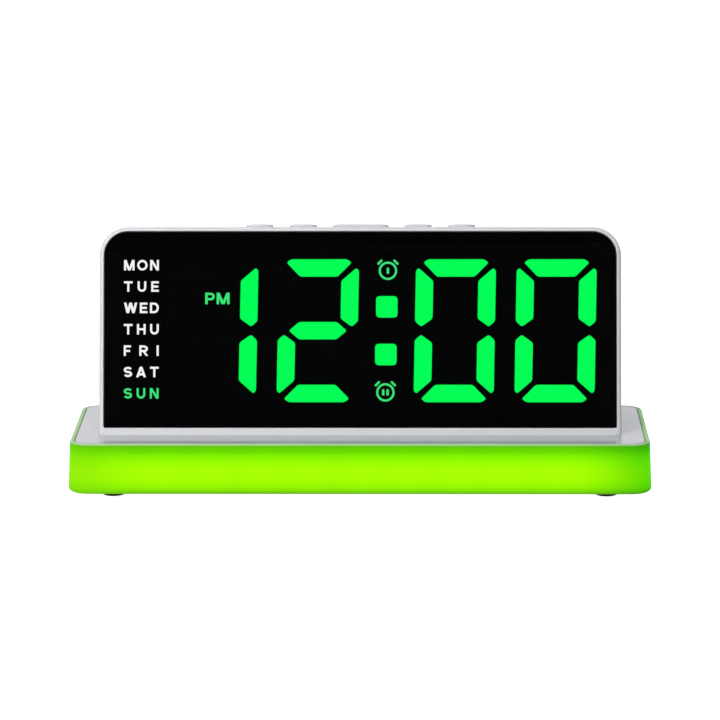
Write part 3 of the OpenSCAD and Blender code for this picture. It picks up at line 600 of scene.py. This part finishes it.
broken_edge = [(pane_round * c, pane_round * (1 - s)) for s, c in zip(sine, rise)]
table = [pane_row(pane_round, window_high[1])]
table += [pane_row(inset, window_high[1] - depth) for inset, depth in broken_edge[::-1]]
table += [pane_row(inset, window_low[1] + depth) for inset, depth in broken_edge]
pane = case_skin("window_pane", table)
wear(pane, window_finish.material)
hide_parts("display_window")


# ---- Film and lit marks ----
# Behind the window lies a black film. Its clear openings are the segments, the colon, the alarm marks, the
# weekdays and the afternoon mark; lamps behind them shine green or white through a thin diffusing layer.


def wear_nodes(material, *nodes):
    """Gives CAD nodes, which keep their own meshes, one material."""
    for node in nodes:
        wear(frame["nodes"][node], material)


film_black = Finish("display_film", roughness=0.8, specular_ior_level=0.03)
speck = film_black.noise(420, 2.0)
film_black.drive(base_color=film_black.mix(speck, (0.0012, 0.0014, 0.0016, 1), (0.0024, 0.0026, 0.003, 1)))
wear_nodes(film_black.material, "segment_film")


def lit_finish(name, colour, strength):
    """Diffusing layer lit from behind: faintly mottled light, the same from every side."""
    finish = Finish(
        name, base_color=(0, 0, 0, 1), roughness=0.6, specular_ior_level=0.0, emission_strength=strength
    )
    mottle = finish.fit(finish.noise(700, 3.0), 0.3, 0.7)
    finish.drive(emission_color=finish.mix(mottle, darker(colour, 0.94), colour))
    return finish.material


through_pane = 1 / (1 - PANE_DARK) ** 2  # light passes the pane's two faces
green_light = lit_finish("green_light", linear(2, 254, 86), 1.03 * through_pane)
pale_green_light = lit_finish("pale_green_light", linear(62, 232, 122), 0.97 * through_pane)
white_light = lit_finish("white_light", linear(247, 247, 250), 1.0 * through_pane)
mark_t = 0.05 * MM


def softened(points, radius, steps=4):
    """An outline with curved corners: each corner becomes the quadratic curve that leaves one side and joins
    the next a radius away from it, pulled towards the corner itself."""
    points = np.asarray(points, float)
    before, after = np.roll(points, 1, 0) - points, np.roll(points, -1, 0) - points
    long_before, long_after = (np.linalg.norm(v, axis=1)[:, None] for v in (before, after))
    reach = np.minimum(radius, 0.48 * np.minimum(long_before, long_after))
    start, end = points + before / long_before * reach, points + after / long_after * reach
    t = np.linspace(0, 1, steps + 1)[None, :, None]
    curve = start[:, None] * (1 - t) ** 2 + 2 * points[:, None] * t * (1 - t) + end[:, None] * t**2
    return curve.reshape(-1, 2)


def lozenge(x, y, half_x, half_y, round_off, turn=0.0):
    """A rectangle with curved corners, turned about its own middle."""
    corners = np.array([(-half_x, -half_y), (half_x, -half_y), (half_x, half_y), (-half_x, half_y)])
    spin = np.array([[math.cos(turn), math.sin(turn)], [-math.sin(turn), math.cos(turn)]])
    return softened(corners, round_off) @ spin + np.array([x, y])


def ribbon(points, width, closed=False):
    """Four-cornered outlines of a stroke of even width. Each point moves to both sides along the sum of its
    two segments' normals, times the width over that sum's square, which mitres the joints."""
    points = np.asarray(points, float)
    ahead = np.roll(points, -1, 0) - points
    if not closed:
        ahead[-1] = ahead[-2]
    ahead /= np.linalg.norm(ahead, axis=1)[:, None]
    behind = np.roll(ahead, 1, 0)
    if not closed:
        behind[0] = ahead[0]
    both = ahead + behind
    normal = np.column_stack([-both[:, 1], both[:, 0]])
    side = normal * (width / (normal**2).sum(1))[:, None]
    left, right = points + side, points - side
    quads = np.stack([left, right, np.roll(right, -1, 0), np.roll(left, -1, 0)], 1)
    return list(quads if closed else quads[:-1])


def turned_left(outline):
    """An outline whose points run anticlockwise: the sum of its cross products is twice its area."""
    nxt = np.roll(outline, -1, 0)
    area = (outline[:, 0] * nxt[:, 1] - outline[:, 1] * nxt[:, 0]).sum()
    return outline if area > 0 else outline[::-1]


def lit_marks(name, outlines, material):
    """Thin plates on the film that cover every closed outline once, also where outlines overlap: the
    outlines' plane is cut into triangles along all of them, and the triangles that lie in none are left out.
    Outlines are in millimetres across and up the slope."""
    outlines = [turned_left(outline) for outline in outlines]
    corners = [Vector(point) for outline in outlines for point in outline]
    ends = np.cumsum([0] + [len(outline) for outline in outlines])
    loops = [list(range(a, b)) for a, b in zip(ends[:-1], ends[1:])]
    found, _, triangles, _, _, sources = delaunay_2d_cdt(corners, [], loops, 0, 1e-4)
    flat = np.array(found) * MM
    faces = [face for face, source in zip(triangles, sources) if source]
    mesh = bpy.data.meshes.new(name)
    mesh.from_pydata(in_case(flat[:, 0], FILM_FRONT, flat[:, 1]).tolist(), [], faces)
    used = bmesh.new()
    used.from_mesh(mesh)
    bmesh.ops.delete(used, geom=[v for v in used.verts if not v.link_faces], context="VERTS")
    used.to_mesh(mesh)
    used.free()
    marks = bpy.data.objects.new(name, mesh)
    bpy.context.scene.collection.objects.link(marks)
    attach(marks, CLOCK)
    thickness = marks.modifiers.new("thickness", "SOLIDIFY")
    thickness.thickness, thickness.offset = mark_t, 1.0
    wear(marks, material)
    return marks


# The digits: seven segments each, with bevelled ends and slightly curved corners, all leaning a little. A
# segment's outline is drawn for the top bar, the upper left post or the middle bar. All sizes of lit marks
# are in millimetres.
digit_w, digit_h = 22.8, 40.8
pair_gap, colon_gap = 5.9, 16.25
side_margin, low_margin = 5.9, 7.4
legend_w, legend_gap = 10, 4.9
digit_low = sill / MM + low_margin
digit_mid = digit_low + digit_h / 2
slant = math.tan(math.radians(1.06))
legend_left = side_margin - window_high[0] / MM
digit_first = legend_left + legend_w + legend_gap
digit_starts = np.cumsum([digit_first, digit_w + pair_gap, digit_w + colon_gap, digit_w + pair_gap])
half_h = digit_h / 2
stroke = 4.98
segment_round = 0.6
bar_in, bar_inner_in = 2.1, 6.05
bar_tip, bar_bevel = 0.95, 1.4
BAR = [(bar_in, digit_h - bar_tip), (bar_in + bar_bevel, digit_h)]
BAR += [(digit_w - x, y) for x, y in BAR[::-1]]
BAR += [(digit_w - bar_inner_in, digit_h - stroke), (bar_inner_in, digit_h - stroke)]
post_drop, post_inner_drop, post_bevel = 3.25, 6.2, 0.75
post_lift, post_inner_lift = 2.7, 3.45
tip_in, tip_lift = 1.75, 1.15
POST = [(post_bevel, digit_h - post_drop + post_bevel), (0, digit_h - post_drop)]
POST += [(0, half_h + post_lift), (tip_in, half_h + tip_lift)]
POST += [(stroke, half_h + post_inner_lift), (stroke, digit_h - post_inner_drop)]
middle_in, middle_top = 3.15, half_h + stroke / 2
MIDDLE = [(middle_in, half_h), (bar_inner_in, middle_top), (digit_w - bar_inner_in, middle_top)]
MIDDLE += [(digit_w - x, digit_h - y) for x, y in MIDDLE]
SEGMENTS = {
    "a": (BAR, False, False),
    "b": (POST, True, False),
    "c": (POST, True, True),
    "d": (BAR, False, True),
    "e": (POST, False, True),
    "f": (POST, False, False),
    "g": (MIDDLE, False, False),
}


def segment(start, letter):
    """Outline of one segment: mirrored for the other side or half, and leaning with its digit."""
    points, flip_x, flip_y = SEGMENTS[letter]
    points = softened(points, segment_round)
    x = digit_w - points[:, 0] if flip_x else points[:, 0]
    y = digit_h - points[:, 1] if flip_y else points[:, 1]
    return np.column_stack([start + x + (y - half_h) * slant, digit_low + y])


shown = zip(digit_starts, ("bc", "abged", "abcdef", "abcdef"))
digits = [segment(start, letter) for start, letters in shown for letter in letters]
lit_marks("lit_digits", digits, green_light)

# The colon's two squares.
colon_x = (digit_starts[1] + digit_w + digit_starts[2]) / 2
dot_half, dot_round = 3.07, 1.2
dot_shift, dot_reach = 0.13, 6.8
dots = [(colon_x + s * dot_shift, digit_mid + s * dot_reach) for s in (-1, 1)]
lit_marks("lit_colon", [lozenge(x, y, dot_half, dot_half, dot_round) for x, y in dots], green_light)

# The two alarm marks: a dial with two bells over it, and one or two short bars inside.
icon_x, icon_y = colon_x + 0.09, digit_mid - 0.25
icon_shift, icon_reach = 0.35, 17.35
dial_r, dial_line = 2.32, 0.6
tick_half_w, tick_half_h, tick_round, tick_apart = 0.35, 0.9, 0.33, 0.62
bell_x, bell_y = 2.28, 2.46
bell_half_w, bell_half_h, bell_round = 0.93, 0.31, 0.28
turn = np.linspace(0, 2 * math.pi, 48, endpoint=False)
icon_outlines = []
for s, ticks in ((1, (0.0,)), (-1, (-tick_apart, tick_apart))):
    x, y = icon_x + s * icon_shift, icon_y + s * icon_reach
    dial = np.column_stack([x + dial_r * np.cos(turn), y + dial_r * np.sin(turn)])
    icon_outlines += ribbon(dial, dial_line, closed=True)
    icon_outlines += [lozenge(x + tick, y, tick_half_w, tick_half_h, tick_round) for tick in ticks]
    for e in (-1, 1):
        tilt = -e * math.pi / 4
        icon_outlines.append(lozenge(x + e * bell_x, y + bell_y, bell_half_w, bell_half_h, bell_round, tilt))
lit_marks("lit_alarm_marks", icon_outlines, pale_green_light)


# The lettering is a plain heavy alphabet of even strokes, drawn in a box one unit high.
def bow(x, y, reach_x, reach_y, start, end, steps=10):
    """Points of an elliptical arc between two angles in degrees."""
    turn = np.radians(np.linspace(start, end, steps + 1))
    return list(zip(x + reach_x * np.cos(turn), y + reach_y * np.sin(turn)))


def capital(letter):
    """A capital's width and the outlines of its strokes. Upright, level and curved strokes are ribbons, and
    slanting ones are four-cornered, with level ends."""
    widths = {"A": 0.94, "D": 0.84, "E": 0.72, "F": 0.68, "H": 0.82, "I": 0.196, "M": 1.0, "N": 0.83}
    widths |= {"O": 0.98, "P": 0.74, "R": 0.84, "S": 0.80, "T": 0.82, "U": 0.82, "W": 1.27}
    wide = widths[letter]
    line, slash = 0.196, 0.116
    half, mid, bend, curl = line / 2, 0.5, 0.42, 0.196
    left, right, centre, low, top = half, wide - half, wide / 2, half, 1 - half
    reach, bowl_reach = centre - half, right - bend

    def bowl(middle, reach_x, reach_y):
        """The round side of a letter, from the top of its stem back to the stem."""
        return [(left, top)] + bow(bend, middle, reach_x, reach_y, 90, -90) + [(left, middle - reach_y)]

    stem, far_stem = [(left, 0), (left, 1)], [(right, 0), (right, 1)]
    head, foot = [(left, top), (wide, top)], [(left, low), (wide, low)]
    upper_curl = bow(centre, mid + curl, reach, curl, 22, 270)
    lower_curl = bow(centre, mid - curl, reach, curl, 90, -158)
    lines = {
        "A": [[(0.2, 0.27), (wide - 0.2, 0.27)]],
        "D": [stem, bowl(mid, bowl_reach, mid - half)],
        "E": [stem, head, [(left, mid), (wide - 0.06, mid)], foot],
        "F": [stem, head, [(left, mid - 0.03), (wide - 0.09, mid - 0.03)]],
        "H": [stem, far_stem, [(left, mid), (right, mid)]],
        "I": [stem],
        "M": [stem, far_stem],
        "N": [stem, far_stem],
        "P": [stem, bowl(0.665, bowl_reach, 0.2275)],
        "R": [stem, bowl(0.675, bowl_reach - 0.03, 0.2175)],
        "S": [upper_curl + lower_curl[1:]],
        "T": [[(0, top), (wide, top)], [(centre, 0), (centre, 1)]],
        "U": [[(left, 1)] + bow(centre, centre, reach, reach, 180, 360) + [(right, 1)]],
    }
    dips = (slash, 0.37), (centre, 0.37), (centre, 0.9), (wide - slash, 0.9)
    slants = {
        "A": [((centre, 1), (slash, 0)), ((centre, 1), (wide - slash, 0))],
        "M": [((slash, 1), (centre, 0)), ((wide - slash, 1), (centre, 0))],
        "N": [((slash, 1), (wide - slash, 0))],
        "R": [((bend - 0.02, 0.4575), (wide - slash - 0.01, 0))],
        "W": [((x, 1), (dip, 0)) for x, dip in dips],
    }
    outlines = [quad for points in lines.get(letter, []) for quad in ribbon(points, line)]
    if letter == "O":
        outlines += ribbon(bow(centre, mid, reach, mid - half, 0, 360, 40)[:-1], line, closed=True)
    for (x0, y0), (x1, y1) in slants.get(letter, []):
        outlines.append(np.array([(x0 - slash, y0), (x1 - slash, y1), (x1 + slash, y1), (x0 + slash, y0)]))
    return wide, outlines


def word(text, left, right, middle, height, stretch=1.0):
    """Outlines of a word between two edges: the letters keep their widths and share the gaps evenly."""
    letters = [capital(letter) for letter in text]
    size = np.array([height * stretch, height])
    gap = (right - left - size[0] * sum(wide for wide, _ in letters)) / (len(letters) - 1)
    outlines, x = [], left
    for wide, strokes in letters:
        outlines += [stroke * size + (x, middle - height / 2) for stroke in strokes]
        x += wide * size[0] + gap
    return outlines


row_pitch, capital_h = 6.1, 3.0
words_left, words_right = legend_left - 0.35, legend_left + legend_w - 0.4
words_mid = digit_mid + 0.4
days = [
    word(day, words_left, words_right, words_mid + (3 - i) * row_pitch, capital_h)
    for i, day in enumerate(("MON", "TUE", "WED", "THU", "FRI", "SAT", "SUN"))
]
lit_marks("lit_weekdays", [outline for day in days[:-1] for outline in day], white_light)
lit_marks("lit_weekday_today", days[-1], pale_green_light)
pm_left, pm_right = digit_starts[0] + 7.95, digit_starts[0] + 14.9
pm_mid, pm_h, pm_stretch = digit_mid + 9.2, 3.3, 1.12
lit_marks("lit_afternoon_mark", word("PM", pm_left, pm_right, pm_mid, pm_h, pm_stretch), pale_green_light)


# ---- Rear cover ----
# The back of the case is a plain moulding with a rolled rear edge. It has a pocket for the coin cell, a mouth
# for the power socket, a rose of sound holes and four sunk screws.
COVER_BACK = span("rear_cover")[1][1]
cover_round = 1.1 * MM
cover_lip = 1.5 * MM
sine, rise = quarter(6)
table = [outer_row(wall + seat, COVER_FRONT - cover_lip, wall), outer_row(wall + seat, COVER_FRONT, wall)]
table += [outer_row(back_round * (1 - s), COVER_FRONT + back_round * c) for s, c in zip(sine, rise)]
table += [outer_row(cover_round * c, COVER_BACK - cover_round * (1 - s)) for s, c in zip(sine, rise)]
back_shell = case_skin("back_shell", table)

past = 0.5 * MM
cut_from, cut_to = COVER_FRONT - 3 * MM, COVER_BACK + past
well_r, well_depth = 2.05 * MM, 1.2 * MM
pocket_r, door_under = 10.4 * MM, 0.05 * MM
mouth_gap, mouth_flare = 0.3 * MM, 0.35 * MM
sound_r, rose_r = 0.6 * MM, 2.6 * MM


def halfway(node):
    """A CAD node's middle and half its size, along the case's directions."""
    low, high = span(node)
    return (low + high) / 2, (high - low) / 2


def bored(name, across, slope, radius, near, far, steps=32):
    """A cylinder along the depth of the case, to cut with."""
    turn = np.linspace(0, 2 * math.pi, steps, endpoint=False)
    x, v = across + radius * np.cos(turn), slope + radius * np.sin(turn)
    return skin(name, np.array([in_case(x, depth, v) for depth in (near, far)]))


def block(name, across, slope, table, **options):
    """A skin along the depth of the case about a middle of its own. Each row of the table is half width, half
    height, corner radius and depth."""
    half, half_high, radius, depth = np.asarray(table, float).T
    path = loop(half, -half_high, half_high, radius, radius)
    return skin(name, in_case(across + path[..., 0], depth[:, None], slope + path[..., 1]), **options)


cutters = []
screw_points = own_points("rear_cover_screws") - case_start
for side in (-1, 1):
    on_side = screw_points[np.sign(screw_points[:, 0]) == side]
    split = (on_side[:, 2].min() + on_side[:, 2].max()) / 2
    for upper in (False, True):
        screw = on_side[(on_side[:, 2] > split) == upper]
        x, _, v = (screw.min(0) + screw.max(0)) / 2
        cutters.append(bored("screw_well", x, v, well_r, COVER_BACK - well_depth, cut_to))
door_mid, door_half = halfway("battery_door")
door_front, door_back = door_mid[1] - door_half[1], door_mid[1] + door_half[1]
opening_w, opening_h = door_half[0] + seat, door_half[2] + seat
opening = [(opening_w, opening_h, square, depth) for depth in (door_front - door_under, cut_to)]
cutters.append(block("door_recess", door_mid[0], door_mid[2], opening))
cutters.append(bored("cell_pocket", door_mid[0], door_mid[2], pocket_r, cut_from, door_front + past, 64))
socket_mid, socket_half = halfway("power_socket_shell")
mouth_w, mouth_h = socket_half[0] + mouth_gap, socket_half[2] + mouth_gap
mouth = [
    (mouth_w + flare, mouth_h + flare, mouth_h + flare, depth)
    for depth, flare in (
        (cut_from, 0.0),
        (COVER_BACK - mouth_flare, 0.0),
        (COVER_BACK, mouth_flare),
        (cut_to, mouth_flare + past),
    )
]
cutters.append(block("socket_mouth", socket_mid[0], socket_mid[2], mouth))
buzzer_mid, _ = halfway("buzzer")
petals = [(rose_r * math.cos(a), rose_r * math.sin(a)) for a in np.radians(range(0, 360, 60))]
for x, v in [(0.0, 0.0)] + petals:
    cutters.append(bored("sound_hole", buzzer_mid[0] + x, buzzer_mid[2] + v, sound_r, cut_from, cut_to))
carve(back_shell, cutters)
wear(back_shell, case_white)
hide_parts("rear_cover")


# ---- Battery door ----
# A small flat door over the coin cell, flush with the cover. Four grooves give the thumb a grip.
door_round = 0.25 * MM
sine, rise = quarter(3)
table = [(door_half[0], door_half[2], square, door_front)]
table += [
    (door_half[0] - door_round * c, door_half[2] - door_round * c, square, door_back - door_round * (1 - s))
    for s, c in zip(sine, rise)
]
door = block("battery_lid", door_mid[0], door_mid[2], table, body="battery_door")
groove_half, groove_r, groove_first, groove_pitch = 5 * MM, 0.4 * MM, 3.0 * MM, 1.8 * MM
groove_table = [(groove_half, groove_r, groove_r, door_back + s * groove_r) for s in (-1, 1)]
grooves = []
for i in range(4):
    slope = door_mid[2] + door_half[2] - groove_first - groove_pitch * i
    grooves.append(block("groove", door_mid[0], slope, groove_table, body="battery_door"))
carve(door, grooves)
wear(door, plastic_finish("door_plastic", (0.66, 0.655, 0.67, 1)))
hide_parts("battery_door")


# ---- Bottom cover ----
# The floor of the base is a flat white plate with a coarser grain, sunk wells for its screws and round
# pockets for the feet.
floor_plastic = plastic_finish("floor_plastic", (0.74, 0.74, 0.76, 1), (0.42, 0.58), 0.04 * MM)
wear_nodes(floor_plastic, "base_bottom_cover")


# ---- Screws, cell, contacts and socket ----
# Nickel-plated steel: drawn, stamped or rolled, with fine lines along the work and a soft uneven shine.


def steel_finish(name, colour, roughness, lines=(2500.0, 300.0, 300.0)):
    """Plated metal: fine lines stretched along one direction, and slow clouds in its gloss."""
    finish = Finish(name, metallic=1.0)
    grain = finish.streaks(lines, 3.0)
    finish.drive(base_color=finish.mix(finish.fit(grain, 0.3, 0.7), darker(colour, 0.82), colour))
    finish.drive(roughness=finish.fit(finish.noise(300, 2.0) * 0.5 + grain * 0.5, 0.3, 0.7, *roughness))
    finish.bump(grain, 0.01 * MM, 0.6)
    return finish.material


plated = steel_finish("plated_steel", (0.60, 0.60, 0.59, 1), (0.22, 0.42))
bright = steel_finish("cell_steel", (0.72, 0.72, 0.73, 1), (0.12, 0.26), (900.0, 900.0, 4000.0))
wear_nodes(plated, *(node for node in frame["nodes"] if node.endswith("_screws")))
wear_nodes(plated, "battery_contact_positive", "battery_contact_negative", "power_socket_shell")
wear_nodes(plated, "clock_crystal", "display_capacitor", "light_capacitor")
wear_nodes(bright, "coin_cell")


# ---- Circuit boards ----
# Glass-epoxy sheets under a coat of solder mask, green in the case and white in the base, where it throws the
# light back. The copper tracks stand up a little under the mask.


def board_finish(name, mask, track):
    """Solder mask over copper: tracks are the edges of square cells, slightly raised and lighter."""
    finish = Finish(name, roughness=0.32, coat_weight=0.3, coat_roughness=0.2)
    cells = finish.node(
        "ShaderNodeTexVoronoi",
        {"distance": "CHEBYCHEV", "feature": "F1"},
        {"Vector": finish.where(), "Scale": 210.0, "Randomness": 0.35},
    )
    lines = finish.fit(cells, 0.36, 0.44)
    weave = finish.noise(1500, 2.0)
    finish.drive(base_color=finish.mix(lines * 0.7 + weave * 0.3, mask, track))
    finish.bump(lines, 0.03 * MM, 0.8)
    return finish.material


green_board = board_finish("green_solder_mask", (0.010, 0.085, 0.030, 1), (0.028, 0.175, 0.062, 1))
white_board = board_finish("white_solder_mask", (0.72, 0.73, 0.70, 1), (0.84, 0.84, 0.82, 1))
wear_nodes(green_board, "display_board", "key_board", "power_board")
wear_nodes(white_board, "light_board")


# ---- Moulded parts on the boards ----
# Chips, switches and the buzzer are black epoxy or nylon; plugs, switch stems and the reflector block are
# pale nylon; the lamps are white packages filled with a slightly yellow gel.


def moulded_finish(name, colour, other, roughness, grain, specular=0.5):
    """A small moulding: two close shades in soft patches, with a fine grain."""
    finish = Finish(name, specular_ior_level=specular)
    patch = finish.noise(380, 3.0)
    finish.drive(base_color=finish.mix(finish.fit(patch, 0.35, 0.65), colour, other))
    finish.drive(roughness=finish.fit(patch, 0.3, 0.7, *roughness))
    finish.bump(finish.noise(3000, 2.0), grain, 0.7)
    return finish.material


black = moulded_finish(
    "black_epoxy", (0.014, 0.014, 0.016, 1), (0.024, 0.024, 0.026, 1), (0.45, 0.65), 0.02 * MM
)
nylon = moulded_finish(
    "pale_nylon", (0.72, 0.68, 0.52, 1), (0.78, 0.74, 0.58, 1), (0.4, 0.55), 0.015 * MM
)
reflector = moulded_finish(
    "reflector_white", (0.80, 0.80, 0.78, 1), (0.86, 0.86, 0.84, 1), (0.5, 0.65), 0.01 * MM
)
package = moulded_finish(
    "lamp_package", (0.84, 0.82, 0.66, 1), (0.90, 0.89, 0.80, 1), (0.25, 0.4), 0.008 * MM
)
foam_dark, foam_pale = (0.0012, 0.0013, 0.0015, 1), (0.003, 0.003, 0.0034, 1)
foam = moulded_finish("black_foam", foam_dark, foam_pale, (0.85, 0.95), 0.06 * MM, 0.05)
wear_nodes(black, "display_driver_chip", "clock_chip", "light_driver_chip", "buzzer", "power_socket_tongue")
wear_nodes(black, *("switch_" + key for key in KEYS))
wear_nodes(nylon, "display_plug", "light_plug", *("plunger_" + key for key in KEYS))
wear_nodes(reflector, "segment_mask")
wear_nodes(package, "display_leds", "light_leds")
wear_nodes(foam, "window_gasket")


# ---- Ribbon cables ----
# Flat grey ribbons with one wire beside the other, so their skin is ridged across. Their grey is painted
# darker in the grooves between the wires, as shade, and lighter on the wires' tops.
wire_pitch = 1.27 * MM
wires = Finish("grey_ribbon", roughness=0.5)
ridges_and_groove_shade = wires.waves(wires.parts(wires.where())[0], wire_pitch) * 0.5 + 0.5
# Painted shade: the grey is darker in each groove and lighter on each wire's top, following the ridges.
wires.drive(base_color=wires.mix(ridges_and_groove_shade, (0.12, 0.125, 0.14, 1), (0.24, 0.25, 0.27, 1)))
wires.bump(ridges_and_groove_shade, 0.3 * MM)
wear_nodes(wires.material, "link_cable", "key_cable")


# ---- Floor, light and camera ----
# The clock stands on a wide pale floor under soft lamps, seen a little from above through a long lens. Two
# cards that only reflections see stand round it.


def sheet(name, middle, across, up, finish, **constants):
    """A flat sheet that glows white, from its middle and the vectors of half its width and half its
    height."""
    corners = [middle + a * across + b * up for a, b in ((-1, -1), (1, -1), (1, 1), (-1, 1))]
    piece = make_mesh(name, np.array(corners), [[0, 1, 2, 3]])
    piece.modifiers.clear()
    wear(piece, Finish(finish, specular_ior_level=0.0, emission_color=(1, 1, 1, 1), **constants).material)
    return piece


floor_half = 6.0
floor_sides = floor_half * np.eye(3)[:2]
floor_look = {"base_color": (0.9, 0.9, 0.9, 1), "roughness": 0.9, "emission_strength": 0.9}
floor = sheet("floor", np.zeros(3), *floor_sides, "floor_white", **floor_look)
floor.visible_diffuse = floor.visible_glossy = False

world = bpy.data.worlds.new("room")
bpy.context.scene.world = world
world.use_nodes = True
room_light = world.node_tree.nodes["Background"].inputs
room_light["Color"].default_value = (0.95, 0.97, 1.0, 1)
room_light["Strength"].default_value = 0.40


def soft_lamp(name, place, size, watts, colour=(1, 1, 1)):
    """A square soft box that faces the middle of the clock. Reflections don't see it."""
    lamp = bpy.data.lights.new(name, "AREA")
    lamp.size, lamp.energy, lamp.color = size, watts, colour
    holder = bpy.data.objects.new(name, lamp)
    bpy.context.scene.collection.objects.link(holder)
    holder.location = place
    holder.rotation_euler = (Vector((0, 0, 40 * MM)) - Vector(place)).to_track_quat("-Z", "Y").to_euler()
    holder.visible_glossy = False


soft_lamp("key_lamp", (-0.24, -0.40, 0.26), 0.22, 1.75)
soft_lamp("top_lamp", (-0.15, 0.05, 0.9), 0.5, 1.0)
soft_lamp("front_lamp", (0.25, -0.9, 0.75), 0.4, 1.2, (0.86, 0.93, 1.0))
soft_lamp("back_lamp", (0.2, 0.9, 0.14), 0.35, 2.6)

TARGET = Vector((-0.00014, 0, 0.03486))
DISTANCE = 1.1567
ELEVATION, AZIMUTH, ROLL = (math.radians(a) for a in (11.357, 0.81, -0.144))
level_out = math.cos(ELEVATION)
backward = Vector((math.sin(AZIMUTH) * level_out, -math.cos(AZIMUTH) * level_out, math.sin(ELEVATION)))
level_right = Vector((0, 0, 1)).cross(backward).normalized()
level_up = backward.cross(level_right)
right = level_right * math.cos(ROLL) + level_up * math.sin(ROLL)
up = level_up * math.cos(ROLL) - level_right * math.sin(ROLL)
camera = bpy.data.objects.new("camera", bpy.data.cameras.new("camera"))
bpy.context.scene.collection.objects.link(camera)
camera.data.sensor_width = 36
camera.data.lens = 201.8
camera.data.clip_end = 50
turned = Matrix((right, up, backward)).transposed().to_4x4()
camera.matrix_world = Matrix.Translation(TARGET + backward * DISTANCE) @ turned
bpy.context.scene.camera = camera


def card(name, middle, wide, high, light):
    """An upright card that only reflections see: it faces the foot of the clock and shines evenly."""
    middle = np.array(middle)
    outwards = middle / np.linalg.norm(middle)
    up = np.array([0, 0, 1.0]) - outwards[2] * outwards
    sides = wide / 2 * np.cross(up, outwards), high / 2 * up
    piece = sheet(name, middle, *sides, name, base_color=(0, 0, 0, 1), roughness=1.0, emission_strength=light)
    piece.visible_camera = piece.visible_diffuse = piece.visible_shadow = piece.visible_transmission = False


# A dark card stands behind the camera, where the polished window reflects, and a white one behind the clock,
# where the glossy deck does.
mirrored = 2 * (np.array(backward) @ DEPTH) * DEPTH - np.array(backward)
card("dark_card", mirrored * 1.6, 1.3, 0.8, 0.03)
card("white_card", (0, 1.6, 0.42), 4.0, 0.8, 1.0)

view = bpy.context.scene.view_settings
view.view_transform, view.look, view.exposure, view.gamma = "Standard", "None", 0.0, 1.0
